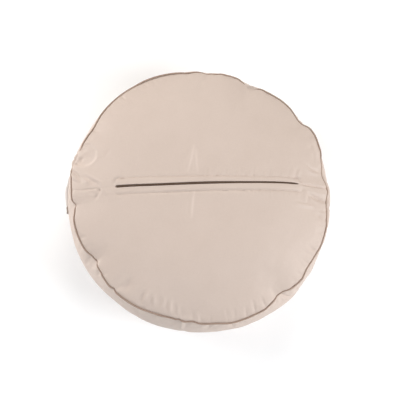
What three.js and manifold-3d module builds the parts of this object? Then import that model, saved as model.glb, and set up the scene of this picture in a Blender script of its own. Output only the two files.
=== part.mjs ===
// A round pouf with a boxed side band, lying with its zipped face up.
// Millimetres, +Z up. The origin is at the middle of the footprint, on the surface that it rests on.
// +X runs along the zip to its narrow end, and +Y points to the upper half of the zipped face.

import * as THREE from "three";
import Module from "manifold-3d";

const wasm = await Module();
wasm.setup();

// Where the sewn circles' centre stands from the middle of the footprint, which the side tab widens.
const CIRCLE_CENTRE = { x: 3.35, y: 0.35 };

// The cover's meridian: two sewn rims, a bulging band between them, a domed face and a resting face.
const SPOKES = 120;
const RIM_RADIUS = 243;
const BAND_BULGE = 15;
const BAND_BULGE_SKEW = 0.8;
const DOME_RISE = 48;
const DOME_POWER = 2.6;
const REST_RADIUS = 150;
const REST_POWER = 2.2;

// A fold pushes the rim out, or draws it in where out is below zero, over an arc in degrees.
const UPPER_RIM = {
  z: 178,
  faceSide: 1,
  folds: [
    { at: 9, out: -5.5, arc: 4.5 },
    { at: 28, out: 6.5, arc: 6.5 },
    { at: 38, out: -3, arc: 5 },
    { at: 66, out: -4, arc: 12 },
    { at: 67, out: -6.5, arc: 3.8 },
    { at: 87, out: -5, arc: 4.5 },
    { at: 125, out: 4.5, arc: 16 },
    { at: 148, out: -2, arc: 4.5 },
    { at: 168, out: 6, arc: 6.5 },
    { at: 186.5, out: -3, arc: 3.5 },
    { at: 211.5, out: -6.5, arc: 3.6 },
    { at: 213, out: -4, arc: 10 },
    { at: 254, out: -5.5, arc: 9 },
    { at: 290, out: 5, arc: 10 },
    { at: 308.3, out: -6, arc: 3.8 },
    { at: 318, out: 4.5, arc: 5.5 },
    { at: 341, out: 4, arc: 7 },
    { at: 358, out: -4.5, arc: 4.5 },
  ],
};
const LOWER_RIM = {
  z: 24,
  faceSide: -1,
  folds: [
    { at: 20, out: -4, arc: 7 },
    { at: 55, out: 4, arc: 12 },
    { at: 96, out: -5, arc: 5 },
    { at: 140, out: 3, arc: 12 },
    { at: 171, out: -4, arc: 6 },
    { at: 228, out: -5, arc: 5 },
    { at: 262, out: 3, arc: 12 },
    { at: 300, out: -4, arc: 6 },
    { at: 335, out: 3, arc: 10 },
  ],
};
const FOLD_REACH_ON_FACE = 4;
const FOLD_REACH_ON_BAND = 45;
const FOLD_DROP = 0.35;
const FOLD_DROP_REACH = 30;

// The cloth swells up on both sides of a rim seam, and the piping lies in the valley between.
const SEAM_PUFF = 2.6;
const SEAM_PUFF_START = 3;
const SEAM_PUFF_END = 60;
const SEAM_LEAN = THREE.MathUtils.degToRad(43);
const PIPING_RADIUS = 1.6;
const PIPING_SIDES = 6;
const PIPING_STAND = 1.95;

// Distances from a rim seam at which the cover's rings are drawn.
const RINGS_BY_SEAM = [2, 4, 9, 16, 26, 40, 58];
const RINGS_ON_DOME = [80, 105, 130, 157, 185, 214];
const RING_ON_REST = 75;

// Soft troughs in the zipped face, each along a line; the first is the dimple by the rim.
const TROUGHS = [
  { fromX: -219, fromY: 66, toX: -203, toY: 69, deep: 8, wide: 13 },
  { fromX: -222, fromY: 44, toX: -166, toY: 20, deep: 2.5, wide: 9 },
  { fromX: 211, fromY: 4, toX: 240, toY: -16, deep: 3, wide: 8 },
  { fromX: 206, fromY: 48, toX: 240, toY: 30, deep: 2, wide: 8 },
  { fromX: -23, fromY: 90, toX: -23, toY: -60, deep: 1.2, wide: 7 },
];

// The crosswise seam: a row for each place on it, with the slit that the zip shows in there.
const SEAM = [
  { x: -240, y: 10, slit: 0 },
  { x: -190, y: 8.5, slit: 4.1 },
  { x: -159, y: 10.2, slit: 4.1 },
  { x: -88, y: 11.8, slit: 4.1 },
  { x: -44, y: 13.4, slit: 4.1 },
  { x: 34, y: 16.2, slit: 3.8 },
  { x: 96, y: 19.2, slit: 2.6 },
  { x: 136, y: 18.8, slit: 2.6 },
  { x: 186, y: 15.8, slit: 2.6 },
  { x: 240, y: 7, slit: 0 },
];
const ZIP = { fromX: -159, toX: 187, clearance: 0.35, thick: 2.5, below: 0.3 };
const SEAM_CHANNEL = { wide: 3.6, deep: 1.8 };
const STITCH_CHANNEL = { wide: 2.4, deep: 1, fromX: -176, toX: 208 };
const STITCH_OFFSETS = [10, -15];
const CHANNEL_STEP = 12;
const CHANNEL_STAND = 3;
const BISECTIONS = 30;

// The side tab: a strap round the band, and its bound end, a row for each place round the band.
const TAB = {
  low: 82.5,
  high: 107.5,
  levels: 5,
  rows: [
    { at: 169.6, stand: 0.35, thick: 2.4 },
    { at: 171, stand: 0.9, thick: 3 },
    { at: 173, stand: 2.6, thick: 3.4 },
    { at: 175, stand: 3.4, thick: 3.6 },
    { at: 177, stand: 3.4, thick: 3.6 },
    { at: 179, stand: 2.6, thick: 3.4 },
    { at: 181, stand: 0.9, thick: 3 },
    { at: 182, stand: 0.35, thick: 2.4 },
  ],
};
const TAB_BINDING = {
  low: 81.5,
  high: 108.5,
  levels: 5,
  rows: [
    { at: 182.1, stand: 0.35, thick: 2.2 },
    { at: 183.2, stand: 0.35, thick: 3.2 },
    { at: 184.4, stand: 0.35, thick: 4.6 },
    { at: 185.6, stand: 0.35, thick: 5.8 },
  ],
};

const MATERIALS = {
  cover: new THREE.MeshStandardMaterial({ color: 0xd8c6ba, roughness: 0.62, metalness: 0 }),
  piping: new THREE.MeshStandardMaterial({ color: 0x8c7668, roughness: 0.7, metalness: 0 }),
  zip: new THREE.MeshStandardMaterial({ color: 0x4a3a30, roughness: 0.5, metalness: 0 }),
};

const turnsApart = (a, b) => ((((a - b) % 360) + 540) % 360) - 180;

function rimFold(rim, degrees) {
  return rim.folds.reduce((sum, fold) => {
    const turn = turnsApart(degrees, fold.at) / fold.arc;
    return sum + fold.out * Math.exp(-turn * turn);
  }, 0);
}

function foldDrop(rim, degrees, inset) {
  const drawnIn = Math.min(rimFold(rim, degrees), 0);
  return FOLD_DROP * drawnIn * Math.exp(-inset / FOLD_DROP_REACH);
}

function puff(inset) {
  const rise = 1 - Math.exp(-((inset / SEAM_PUFF_START) ** 2));
  return SEAM_PUFF * rise * Math.max(0, 1 - inset / SEAM_PUFF_END);
}

// A point on a spoke, at a distance from the axis.
function onSpoke(degrees, radius, z) {
  const turn = THREE.MathUtils.degToRad(degrees);
  return new THREE.Vector3(radius * Math.cos(turn), radius * Math.sin(turn), z);
}

// The distance from a point of the zipped face to a trough's line.
function distanceToTrough(x, y, trough) {
  const alongX = trough.toX - trough.fromX;
  const alongY = trough.toY - trough.fromY;
  const length2 = alongX * alongX + alongY * alongY;
  const share = ((x - trough.fromX) * alongX + (y - trough.fromY) * alongY) / length2;
  const t = THREE.MathUtils.clamp(share, 0, 1);
  return Math.hypot(x - trough.fromX - t * alongX, y - trough.fromY - t * alongY);
}

function troughDepth(x, y) {
  return TROUGHS.reduce((sum, trough) => {
    const far = distanceToTrough(x, y, trough) / trough.wide;
    return sum + trough.deep * Math.exp(-far * far);
  }, 0);
}

// How far a face reaches out on a spoke, at an inset from the rim.
function faceRadius(rim, degrees, inset) {
  const share = 1 - inset / RIM_RADIUS;
  return share * (RIM_RADIUS + rimFold(rim, degrees) * share ** FOLD_REACH_ON_FACE);
}

function domePoint(degrees, inset) {
  const share = 1 - inset / RIM_RADIUS;
  const swell = puff(inset);
  const radius = faceRadius(UPPER_RIM, degrees, inset) + swell * Math.cos(SEAM_LEAN);
  const dome = DOME_RISE * (1 - share ** DOME_POWER);
  const smooth = UPPER_RIM.z + dome + foldDrop(UPPER_RIM, degrees, inset);
  const point = onSpoke(degrees, radius, smooth + swell * Math.sin(SEAM_LEAN));
  point.z -= troughDepth(point.x, point.y) * (1 - Math.exp(-inset / SEAM_PUFF_START));
  return point;
}

function restPoint(degrees, inset) {
  const swell = puff(inset);
  const radius = faceRadius(LOWER_RIM, degrees, inset) + swell * Math.cos(SEAM_LEAN);
  const flatShare = REST_RADIUS / RIM_RADIUS;
  const rise = Math.max(0, (1 - inset / RIM_RADIUS - flatShare) / (1 - flatShare)) ** REST_POWER;
  const curved = LOWER_RIM.z * rise - foldDrop(LOWER_RIM, degrees, inset) * rise;
  return onSpoke(degrees, radius, Math.max(0, curved - swell * Math.sin(SEAM_LEAN)));
}

// A point of the band, at a share of the way up from the lower rim to the upper one.
function bandPoint(degrees, share) {
  const low = LOWER_RIM.z - foldDrop(LOWER_RIM, degrees, 0);
  const high = UPPER_RIM.z + foldDrop(UPPER_RIM, degrees, 0);
  const height = high - low;
  const up = share * height;
  const down = height - up;
  const lowFold = rimFold(LOWER_RIM, degrees) * Math.exp(-up / FOLD_REACH_ON_BAND);
  const highFold = rimFold(UPPER_RIM, degrees) * Math.exp(-down / FOLD_REACH_ON_BAND);
  const crossFade = lowFold * (1 - share) + highFold * share;
  const bulge = BAND_BULGE * Math.sin(Math.PI * share ** BAND_BULGE_SKEW);
  const swell = puff(Math.min(up, down));
  const side = up < down ? -1 : 1;
  const radius = RIM_RADIUS + crossFade + bulge + swell * Math.cos(SEAM_LEAN);
  return onSpoke(degrees, radius, low + up + side * swell * Math.sin(SEAM_LEAN));
}

function bandRadiusAt(degrees, z) {
  const height = UPPER_RIM.z - LOWER_RIM.z;
  const point = bandPoint(degrees, (z - LOWER_RIM.z) / height);
  return Math.hypot(point.x, point.y);
}

// A closed solid from rows of points, each row a loop. The rows join into a ring or get end caps.
function rowSolid(rows, joinEnds = false) {
  const across = rows[0].length;
  const positions = rows.flat().flatMap((point) => point.toArray());
  const index = [];
  const rowPairs = joinEnds ? rows.length : rows.length - 1;
  for (let row = 0; row < rowPairs; row += 1) {
    const here = row * across;
    const next = ((row + 1) % rows.length) * across;
    for (let i = 0; i < across; i += 1) {
      const j = (i + 1) % across;
      index.push(here + i, here + j, next + j, here + i, next + j, next + i);
    }
  }
  if (!joinEnds) {
    for (const [row, outward] of [[0, false], [rows.length - 1, true]]) {
      const middle = new THREE.Vector3();
      rows[row].forEach((point) => middle.addScaledVector(point, 1 / across));
      const pole = positions.length / 3;
      positions.push(...middle.toArray());
      for (let i = 0; i < across; i += 1) {
        const a = row * across + i;
        const b = row * across + ((i + 1) % across);
        index.push(...(outward ? [a, b, pole] : [b, a, pole]));
      }
    }
  }
  const geometry = new THREE.BufferGeometry();
  geometry.setAttribute("position", new THREE.Float32BufferAttribute(positions, 3));
  geometry.setIndex(signedVolume(positions, index) < 0 ? index.reverse() : index);
  return geometry;
}

function signedVolume(positions, index) {
  const corner = (i) => new THREE.Vector3().fromArray(positions, index[i] * 3);
  let sum = 0;
  for (let i = 0; i < index.length; i += 3) {
    sum += corner(i).dot(corner(i + 1).cross(corner(i + 2)));
  }
  return sum / 6;
}

function toSolid(geometry) {
  return new wasm.Manifold(new wasm.Mesh({
    numProp: 3,
    vertProperties: new Float32Array(geometry.attributes.position.array),
    triVerts: new Uint32Array(geometry.index.array),
  }));
}

function fromSolid(solid) {
  const mesh = solid.getMesh();
  const geometry = new THREE.BufferGeometry();
  geometry.setAttribute("position", new THREE.BufferAttribute(mesh.vertProperties, 3));
  geometry.setIndex(new THREE.BufferAttribute(mesh.triVerts, 1));
  return geometry;
}

const spokeAngles = Array.from({ length: SPOKES }, (_, i) => (360 * i) / SPOKES);
const loopOf = (pointAt) => spokeAngles.map(pointAt);

// The seam's line on the zipped face, sampled by x, moved across the seam by an offset.
const seamLine = new THREE.CatmullRomCurve3(
  SEAM.map((row) => new THREE.Vector3(row.x, row.y, row.slit)), false, "centripetal");

function seamAt(x) {
  let low = 0;
  let high = 1;
  for (let i = 0; i < BISECTIONS; i += 1) {
    const middle = (low + high) / 2;
    if (seamLine.getPoint(middle).x < x) low = middle;
    else high = middle;
  }
  return seamLine.getPoint(low);
}

function domeHeight(x, y) {
  const degrees = THREE.MathUtils.radToDeg(Math.atan2(y, x));
  const far = Math.hypot(x, y);
  let near = 0;
  let inset = RIM_RADIUS;
  for (let i = 0; i < BISECTIONS; i += 1) {
    const middle = (near + inset) / 2;
    const point = domePoint(degrees, middle);
    if (Math.hypot(point.x, point.y) > far) near = middle;
    else inset = middle;
  }
  return domePoint(degrees, inset).z;
}

// Sections along the seam from one x to another; the section is drawn from the width there.
function seamRows(fromX, toX, offset, section) {
  const steps = Math.max(2, Math.round((toX - fromX) / CHANNEL_STEP));
  const up = new THREE.Vector3(0, 0, 1);
  const places = Array.from({ length: steps + 1 }, (_, i) => {
    const x = fromX + ((toX - fromX) * i) / steps;
    const seam = seamAt(x);
    const y = seam.y + offset;
    return { point: new THREE.Vector3(x, y, domeHeight(x, y)), slit: seam.z };
  });
  return places.map(({ point, slit }, i) => {
    const before = places[Math.max(i - 1, 0)].point;
    const after = places[Math.min(i + 1, steps)].point;
    const along = after.clone().sub(before).normalize();
    const across = up.clone().cross(along).normalize();
    const raise = along.clone().cross(across);
    return section(slit).map(([side, height]) =>
      point.clone().addScaledVector(across, side).addScaledVector(raise, height));
  });
}

const grooveSection = ({ wide, deep }) => () => {
  const slope = CHANNEL_STAND / deep;
  const half = (wide / 2) * (1 + slope);
  return [[0, -deep], [half, CHANNEL_STAND], [-half, CHANNEL_STAND]];
};

const boxSection = (trim, top, bottom) => (slit) => {
  const half = slit / 2 - trim;
  return [[-half, bottom], [half, bottom], [half, top], [-half, top]];
};

function makePoufBody() {
  const height = UPPER_RIM.z - LOWER_RIM.z;
  const fromSeam = [0, ...RINGS_BY_SEAM].map((inset) => inset / height);
  const bandShares = [...fromSeam, 0.5, ...fromSeam.map((share) => 1 - share).reverse()];
  const rings = [
    loopOf((at) => onSpoke(at, RING_ON_REST, 0)),
    loopOf((at) => onSpoke(at, REST_RADIUS, 0)),
    ...[...RINGS_BY_SEAM].reverse().map((inset) => loopOf((at) => restPoint(at, inset))),
    ...bandShares.map((share) => loopOf((at) => bandPoint(at, share))),
    ...[...RINGS_BY_SEAM, ...RINGS_ON_DOME].map((inset) => loopOf((at) => domePoint(at, inset))),
  ];
  const channels = [
    seamRows(ZIP.fromX - ZIP.clearance, ZIP.toX + ZIP.clearance, 0,
      boxSection(0, CHANNEL_STAND, -ZIP.below - ZIP.thick - ZIP.clearance)),
    seamRows(SEAM[0].x, ZIP.fromX, 0, grooveSection(SEAM_CHANNEL)),
    seamRows(ZIP.toX, SEAM[SEAM.length - 1].x, 0, grooveSection(SEAM_CHANNEL)),
    ...STITCH_OFFSETS.map((offset) =>
      seamRows(STITCH_CHANNEL.fromX, STITCH_CHANNEL.toX, offset, grooveSection(STITCH_CHANNEL))),
  ];
  const body = channels.reduce(
    (solid, rows) => solid.subtract(toSolid(rowSolid(rows))), toSolid(rowSolid(rings)));
  return fromSolid(body);
}

// The piping's round section stands out of the seam's valley, on the side that the seam faces.
function makePiping(rim) {
  return rowSolid(loopOf((degrees) => {
    const radius = RIM_RADIUS + rimFold(rim, degrees);
    const z = rim.z + rim.faceSide * foldDrop(rim, degrees, 0);
    return Array.from({ length: PIPING_SIDES }, (_, i) => {
      const turn = SEAM_LEAN + (2 * Math.PI * i) / PIPING_SIDES;
      const outward = PIPING_STAND * Math.cos(SEAM_LEAN) + PIPING_RADIUS * Math.cos(turn);
      const upward = PIPING_STAND * Math.sin(SEAM_LEAN) + PIPING_RADIUS * Math.sin(turn);
      return onSpoke(degrees, radius + outward, z + rim.faceSide * upward);
    });
  }), true);
}

function makeZip() {
  return rowSolid(seamRows(ZIP.fromX, ZIP.toX, 0,
    boxSection(ZIP.clearance, -ZIP.below, -ZIP.below - ZIP.thick)));
}

// A strap that follows the band's swell, its inner side and then its outer side, for each row.
function makeStrap({ low, high, levels, rows }) {
  const heights = Array.from({ length: levels }, (_, i) => low + ((high - low) * i) / (levels - 1));
  const side = (at, out) => heights.map((z) => onSpoke(at, bandRadiusAt(at, z) + out, z));
  return rowSolid(rows.map(({ at, stand, thick }) =>
    [...side(at, stand), ...side(at, stand + thick).reverse()]));
}

function named(name, geometry, material) {
  geometry.computeVertexNormals();
  const mesh = new THREE.Mesh(geometry, material);
  mesh.name = name;
  return mesh;
}

const pouf = new THREE.Group();
pouf.position.set(CIRCLE_CENTRE.x, CIRCLE_CENTRE.y, 0);
pouf.add(
  named("pouf_body", makePoufBody(), MATERIALS.cover),
  named("rim_piping_upper", makePiping(UPPER_RIM), MATERIALS.piping),
  named("rim_piping_lower", makePiping(LOWER_RIM), MATERIALS.piping),
  named("zip", makeZip(), MATERIALS.zip),
  named("side_tab", makeStrap(TAB), MATERIALS.cover),
  named("side_tab_binding", makeStrap(TAB_BINDING), MATERIALS.piping),
);

export default pouf;
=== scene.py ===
"""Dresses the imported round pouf: cloth cover, piping, zip, stitching, side tab and studio."""

import bmesh
import bpy
import numpy as np
from mathutils import Matrix, Vector
from mathutils.bvhtree import BVHTree
from mathutils.geometry import delaunay_2d_cdt
from mathutils.kdtree import KDTree


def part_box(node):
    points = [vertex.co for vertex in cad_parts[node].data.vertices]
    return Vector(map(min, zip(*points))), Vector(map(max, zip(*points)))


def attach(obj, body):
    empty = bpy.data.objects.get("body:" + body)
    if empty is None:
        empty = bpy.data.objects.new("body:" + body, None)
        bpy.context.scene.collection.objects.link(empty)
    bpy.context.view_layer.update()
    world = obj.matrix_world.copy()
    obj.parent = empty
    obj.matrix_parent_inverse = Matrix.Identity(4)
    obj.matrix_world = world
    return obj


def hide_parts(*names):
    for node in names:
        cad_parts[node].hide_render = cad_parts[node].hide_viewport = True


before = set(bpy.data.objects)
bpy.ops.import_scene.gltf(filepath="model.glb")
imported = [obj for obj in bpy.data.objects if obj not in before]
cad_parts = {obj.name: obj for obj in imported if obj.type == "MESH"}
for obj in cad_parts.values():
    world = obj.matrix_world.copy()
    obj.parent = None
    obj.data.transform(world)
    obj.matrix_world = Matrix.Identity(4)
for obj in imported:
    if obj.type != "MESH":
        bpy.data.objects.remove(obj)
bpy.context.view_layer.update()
random = np.random.default_rng(5)

MM = 0.001


def named_rows(names, rows):
    """Rows of values, each value under its name."""
    return [dict(zip(names.split(), row)) for row in rows]


def read_off(places, at, period=None):
    """The value at a place, from a list of (place, value) with straight runs between them."""
    return np.interp(at, *np.array(places).T, period=period)


def new_mesh(name, points, faces=(), edges=()):
    """A mesh of points, with the faces or the edges that join them."""
    mesh = bpy.data.meshes.new(name)
    mesh.from_pydata(np.asarray(points).tolist(), edges, [tuple(face) for face in faces])
    mesh.update()
    return mesh


def put_in_scene(name, data):
    """An object that shows a mesh, a lamp or a camera."""
    piece = bpy.data.objects.new(name, data)
    bpy.context.scene.collection.objects.link(piece)
    return piece


def new_object(name, points, faces):
    """An object with a mesh of its own."""
    return put_in_scene(name, new_mesh(name, points, faces))


def vertex_places(mesh):
    """A mesh's points as one array."""
    places = np.zeros(len(mesh.vertices) * 3, np.float32)
    mesh.vertices.foreach_get("co", places)
    return places.reshape(-1, 3).astype(float)

# The sewn circles' centre in the frame, and the spokes on which the CAD piping was drawn.
CENTRE = np.array([3.35, 0.35, 0.0]) * MM
SPOKES = 120
FINE_TURNS = 3600

# The seam lies this far inside the CAD piping's centre, at this lean above the horizontal.
SEAM_LEAN = np.radians(43.0)
CAD_STAND = 1.95 * MM

# The cover's form between the rims.
DOME_POWER = 2.6
BAND_BULGE_SKEW = 0.8
REST_RADIUS = 150 * MM
REST_POWER = 2.2
BEND_REACH = 55 * MM
LIFT_REACH = 20 * MM
KINK_REACH = 2.4
SEAM_PUFF = 2.6 * MM
SEAM_PUFF_START = 2.4 * MM
SEAM_PUFF_END = 60 * MM

# The crosswise seam in the zipped face, as places (x, y) from the circles' centre, and its zip.
SEAM_PLACES = [(-243, 6.5), (-215, 5.0), (-198, 5.6), (-186, 6.6), (-170, 8.0), (-157, 9.3),
               (-114, 9.9), (-77, 11.3), (-40, 12.7), (-3, 14.3), (34, 15.2), (71, 16.5),
               (109, 17.9), (148, 18.2), (183, 18.4), (214, 15.5), (239, 13.4)]
SEAM_DEGREE = 9
ZIP_ENDS = (-159.0, 184.5)
ZIP_END_ROUND = (3.0, 12.0)
SLIT_HALVES = [(-160, 2.25), (10, 2.2), (92, 1.55), (190, 1.4)]
SLIT_DEEP = 4.6

# The two stitch lines' distances from the seam along it, and where they end.
STITCH_LOWER = [(-160, -15.4), (190, -15.0)]
STITCH_UPPER = [(-160, 15.0), (-95, 15.8), (-55, 14.6), (15, 13.6), (55, 12.3), (90, 11.8),
                (130, 11.2), (185, 12.0)]
STITCH_ENDS = [(-158.0, 190.0), (-150.0, 190.0)]

# Bends and tight kinks of the upper rim, in degrees round it: how far out and down, and over what arc.
KINKS = named_rows("at out down arc", [
    (1.5, 2.0, 0, 1.5), (4.5, 1.0, 0, 3), (11, -2.2, 0, 4), (16, -1.4, 0, 2), (20.5, 1.8, 0, 2.5),
    (32, 1.4, 0, 2), (36.5, -2.8, 0, 3.5), (57, -1.8, 0, 5), (63.6, -4.8, 0.5, 2.2),
    (66.5, -2.4, 1.5, 1.3), (78, -1.7, 0, 6), (83, -1.8, 0, 2), (87.0, -1.8, 1, 1.1),
    (95.5, -3.4, 0, 3.5), (99.5, -1.8, 0, 5), (113, 0.5, 0, 5), (118, -2.4, 0, 18), (149, -2.0, 0, 7),
    (165.0, -1.5, 5.0, 3.6), (185.3, -5.0, 1, 1.3), (188, -2.6, 0, 3), (213.6, -4.0, 0.4, 1.4),
    (216.0, -1.0, 0, 1.0), (218.2, -3.4, 0, 2.2), (222.0, -1.0, 0, 2.0), (227.9, -3.0, 0.5, 1.1),
    (252, 1.4, 0, 3), (260.4, -2.6, 1, 0.9), (266.5, -3.4, 0, 2.4), (283, 1.8, 0, 4), (298, 1.6, 0, 3),
    (300, 1.0, 0, 2), (307.3, -1.2, 1.5, 1.2), (308, 1.6, 0, 5), (310.5, -1.4, 0.5, 1.4),
    (321, 1.8, 0, 3), (330, 1.3, 0, 4), (336, 1.8, 0, 4), (346, 1.4, 0, 2.5), (358.5, 2.2, 0, 3),
])

# The camera: an 85 mm lens on a 36 mm sensor, leaning off the vertical towards a compass turn.
LENS = 85.05
SENSOR = 36.0
CLIP_START = 50 * MM
CAMERA_DISTANCE = 1793 * MM
CAMERA_LEAN = np.radians(9.5)
CAMERA_TURN = np.radians(253.0)
AIM = CENTRE + np.array([-0.7, -10.5, 178.0]) * MM


def make_camera():
    """A camera over the zipped face, with +Y up in the picture."""
    back = Vector((np.sin(CAMERA_LEAN) * np.cos(CAMERA_TURN),
                   np.sin(CAMERA_LEAN) * np.sin(CAMERA_TURN),
                   np.cos(CAMERA_LEAN)))
    right = Vector((0, 1, 0)).cross(back).normalized()
    up = back.cross(right)
    camera = put_in_scene("camera", bpy.data.cameras.new("camera"))
    camera.data.lens = LENS
    camera.data.sensor_width = SENSOR
    camera.data.clip_start = CLIP_START
    camera.matrix_world = Matrix.Translation(Vector(AIM) + back * CAMERA_DISTANCE) @ Matrix(
        (right, up, back)).transposed().to_4x4()
    bpy.context.scene.camera = camera


def node_points(name):
    """The distinct points of a CAD node, from the circles' centre."""
    return np.unique(np.round(vertex_places(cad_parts[name].data), 6), axis=0) - CENTRE


def turns_apart(a, b):
    """How many degrees a lies beyond b, from -180 to 180."""
    return (a - b + 180) % 360 - 180


def soft_step(value, start, end):
    """Goes softly from 0 at the start to 1 at the end."""
    share = np.clip((value - start) / (end - start), 0, 1)
    return share * share * (3 - 2 * share)


def hump(away, wide):
    """A soft hump, 1 high in its middle, that dies out beyond its width."""
    return np.exp(-(away / wide) ** 2)


def heading(angle):
    """The direction of an angle in radians, seen from above."""
    return np.stack([np.cos(angle), np.sin(angle)], axis=-1)


def polar(points):
    """The turn in degrees and the distance of each point, seen from above."""
    return np.degrees(np.arctan2(points[:, 1], points[:, 0])) % 360, np.hypot(points[:, 0], points[:, 1])


def spoke_points(turn, radius, height):
    """Points at a turn in degrees, a radius and a height."""
    angle = np.radians(turn)
    return np.stack([radius * np.cos(angle), radius * np.sin(angle), height], axis=-1)


class Rim:
    """A sewn rim, read from its CAD piping, with its seam's radius and height on any spoke."""

    def __init__(self, node, face_side, kinks=()):
        points = node_points(node)
        turn, far = polar(points)
        spoke = np.round(turn * SPOKES / 360).astype(int) % SPOKES
        counts = np.bincount(spoke, minlength=SPOKES)
        radii = self.resample(np.bincount(spoke, far, SPOKES) / counts)
        heights = self.resample(np.bincount(spoke, points[:, 2], SPOKES) / counts)
        self.turns = np.arange(FINE_TURNS) * 360 / FINE_TURNS
        self.face_side = face_side
        self.kinks = kinks
        self.radii = radii - CAD_STAND * np.cos(SEAM_LEAN)
        self.heights = heights - face_side * CAD_STAND * np.sin(SEAM_LEAN)
        self.radius = self.radii.mean()
        self.height = np.median(self.heights)

    @staticmethod
    def resample(values):
        """A smooth closed curve through the spokes' values, at every fine turn."""
        return np.fft.irfft(np.fft.rfft(values), FINE_TURNS) * FINE_TURNS / SPOKES

    def kinked(self, way, turn, inset):
        """What the kinks add at an inset from the seam; a narrow one dies out soon."""
        total = np.zeros(np.broadcast(turn, inset).shape)
        for kink in self.kinks:
            reach = KINK_REACH * np.radians(kink["arc"]) * self.radius
            away = turns_apart(turn, kink["at"]) / kink["arc"]
            total += kink[way] * MM * np.exp(-away ** 2 - inset / reach)
        return total

    def fold(self, turn, inset=0.0):
        """How far the cover stands outside the mean circle."""
        bend = np.interp(turn, self.turns, self.radii, period=360) - self.radius
        return bend * np.exp(-inset / BEND_REACH) + self.kinked("out", turn, inset)

    def lift(self, turn, inset=0.0):
        """The height of the seam, or of the cover's edge that it carries along."""
        rise = np.interp(turn, self.turns, self.heights, period=360) - self.height
        return (self.height + rise * np.exp(-inset / LIFT_REACH)
                - self.face_side * self.kinked("down", turn, inset))


class Profile:
    """A face's section from its centre to its rim, with the length of cloth along it."""

    def __init__(self, height_of_share, radius):
        self.radius = radius
        self.shares = np.linspace(0, 1, 400)
        self.heights = height_of_share(self.shares)
        steps = np.hypot(np.diff(self.shares) * radius, np.diff(self.heights))
        self.lengths = np.concatenate([[0], np.cumsum(steps)])
        self.flat_radius = self.lengths[-1]

    def share(self, flat):
        """The share of the radius that a length of cloth from the centre reaches to."""
        return np.interp(flat, self.lengths, self.shares)

    def height(self, share):
        """The section's height at a share of the radius."""
        return np.interp(share, self.shares, self.heights)

    def to_flat(self, plan):
        """Flat places on the cut panel for places seen from above."""
        far = np.hypot(plan[:, 0], plan[:, 1])
        return plan * (np.interp(far / self.radius, self.shares, self.lengths)
                       / np.maximum(far, 1e-9))[:, None]

    def to_plan(self, flat):
        """Places seen from above for flat places on the cut panel."""
        far = np.hypot(flat[:, 0], flat[:, 1])
        return flat * (self.share(far) * self.radius / np.maximum(far, 1e-9))[:, None]


upper_rim = Rim("rim_piping_upper", 1, KINKS)
lower_rim = Rim("rim_piping_lower", -1)
body_low, body_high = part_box("pouf_body")
DOME_RISE = body_high.z - upper_rim.height
BAND_BULGE = (body_high.y - body_low.y) / 2 - upper_rim.radius
BAND_TALL = (upper_rim.height - lower_rim.height) / MM
MM_PER_DEGREE = np.radians(1) * upper_rim.radius / MM


def rest_height(share):
    """The resting face's height: flat, then rising to its rim."""
    flat_share = REST_RADIUS / lower_rim.radius
    rise = np.clip((share - flat_share) / (1 - flat_share), 0, None)
    return lower_rim.height * rise ** REST_POWER


top_profile = Profile(lambda share: DOME_RISE * (1 - share ** DOME_POWER), upper_rim.radius)
rest_profile = Profile(rest_height, lower_rim.radius)


def puff(inset):
    """How far the filling swells the cloth beside a sewn rim."""
    rise = 1 - hump(inset, SEAM_PUFF_START)
    return SEAM_PUFF * rise * np.clip(1 - inset / SEAM_PUFF_END, 0, None)


def top_form(flat):
    """The zipped face's smooth form, at flat places on its panel."""
    turn, far = polar(flat)
    share = top_profile.share(far)
    inset = top_profile.flat_radius - far
    swell = puff(inset)
    radius = share * (upper_rim.radius + upper_rim.fold(turn, inset))
    height = upper_rim.lift(turn, inset) + top_profile.height(share)
    return spoke_points(turn, radius + swell * np.cos(SEAM_LEAN), height + swell * np.sin(SEAM_LEAN))


def rest_form(flat):
    """The resting face's smooth form."""
    turn, far = polar(flat)
    share = rest_profile.share(far)
    inset = rest_profile.flat_radius - far
    swell = puff(inset)
    rise = rest_height(share) / lower_rim.height
    radius = share * (lower_rim.radius + lower_rim.fold(turn, inset))
    height = lower_rim.lift(turn) * rise - swell * np.sin(SEAM_LEAN)
    return spoke_points(turn, radius + swell * np.cos(SEAM_LEAN), np.maximum(height, 0))


def band_form(turn, share):
    """The side band's smooth form, at a share of the way up from the lower rim to the upper one."""
    low, high = lower_rim.lift(turn), upper_rim.lift(turn)
    up = share * (high - low)
    down = (1 - share) * (high - low)
    low_fold = lower_rim.fold(turn, up)
    high_fold = upper_rim.fold(turn, down)
    bulge = BAND_BULGE * np.sin(np.pi * share ** BAND_BULGE_SKEW)
    swell = puff(np.minimum(up, down))
    radius = (upper_rim.radius * share + lower_rim.radius * (1 - share)
              + low_fold * (1 - share) + high_fold * share + bulge + swell * np.cos(SEAM_LEAN))
    side = np.where(up < down, -1, 1)
    return spoke_points(turn, radius, low + up + side * swell * np.sin(SEAM_LEAN))


seam_curve = np.polynomial.Polynomial.fit(*np.array(SEAM_PLACES, float).T, SEAM_DEGREE)
seam_slope = seam_curve.deriv()


def seam_offset(plan):
    """How far places on the zipped face lie beside the crosswise seam, in millimetres."""
    x, y = plan[:, 0] / MM, plan[:, 1] / MM
    return (y - seam_curve(x)) / np.hypot(1, seam_slope(x))


def slit_half(x):
    """Half the width of the slit over the zip, with its ends drawn together."""
    left = np.clip((x - ZIP_ENDS[0]) / ZIP_END_ROUND[0], 0, 1)
    right = np.clip((ZIP_ENDS[1] - x) / ZIP_END_ROUND[1], 0, 1)
    return read_off(SLIT_HALVES, x) * np.sqrt(1 - (1 - left) ** 2) * np.sqrt(1 - (1 - right) ** 2)


def stitch_lines(x):
    """The lower and the upper stitch line's distance from the seam."""
    return [read_off(line, x) for line in (STITCH_LOWER, STITCH_UPPER)]


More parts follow.
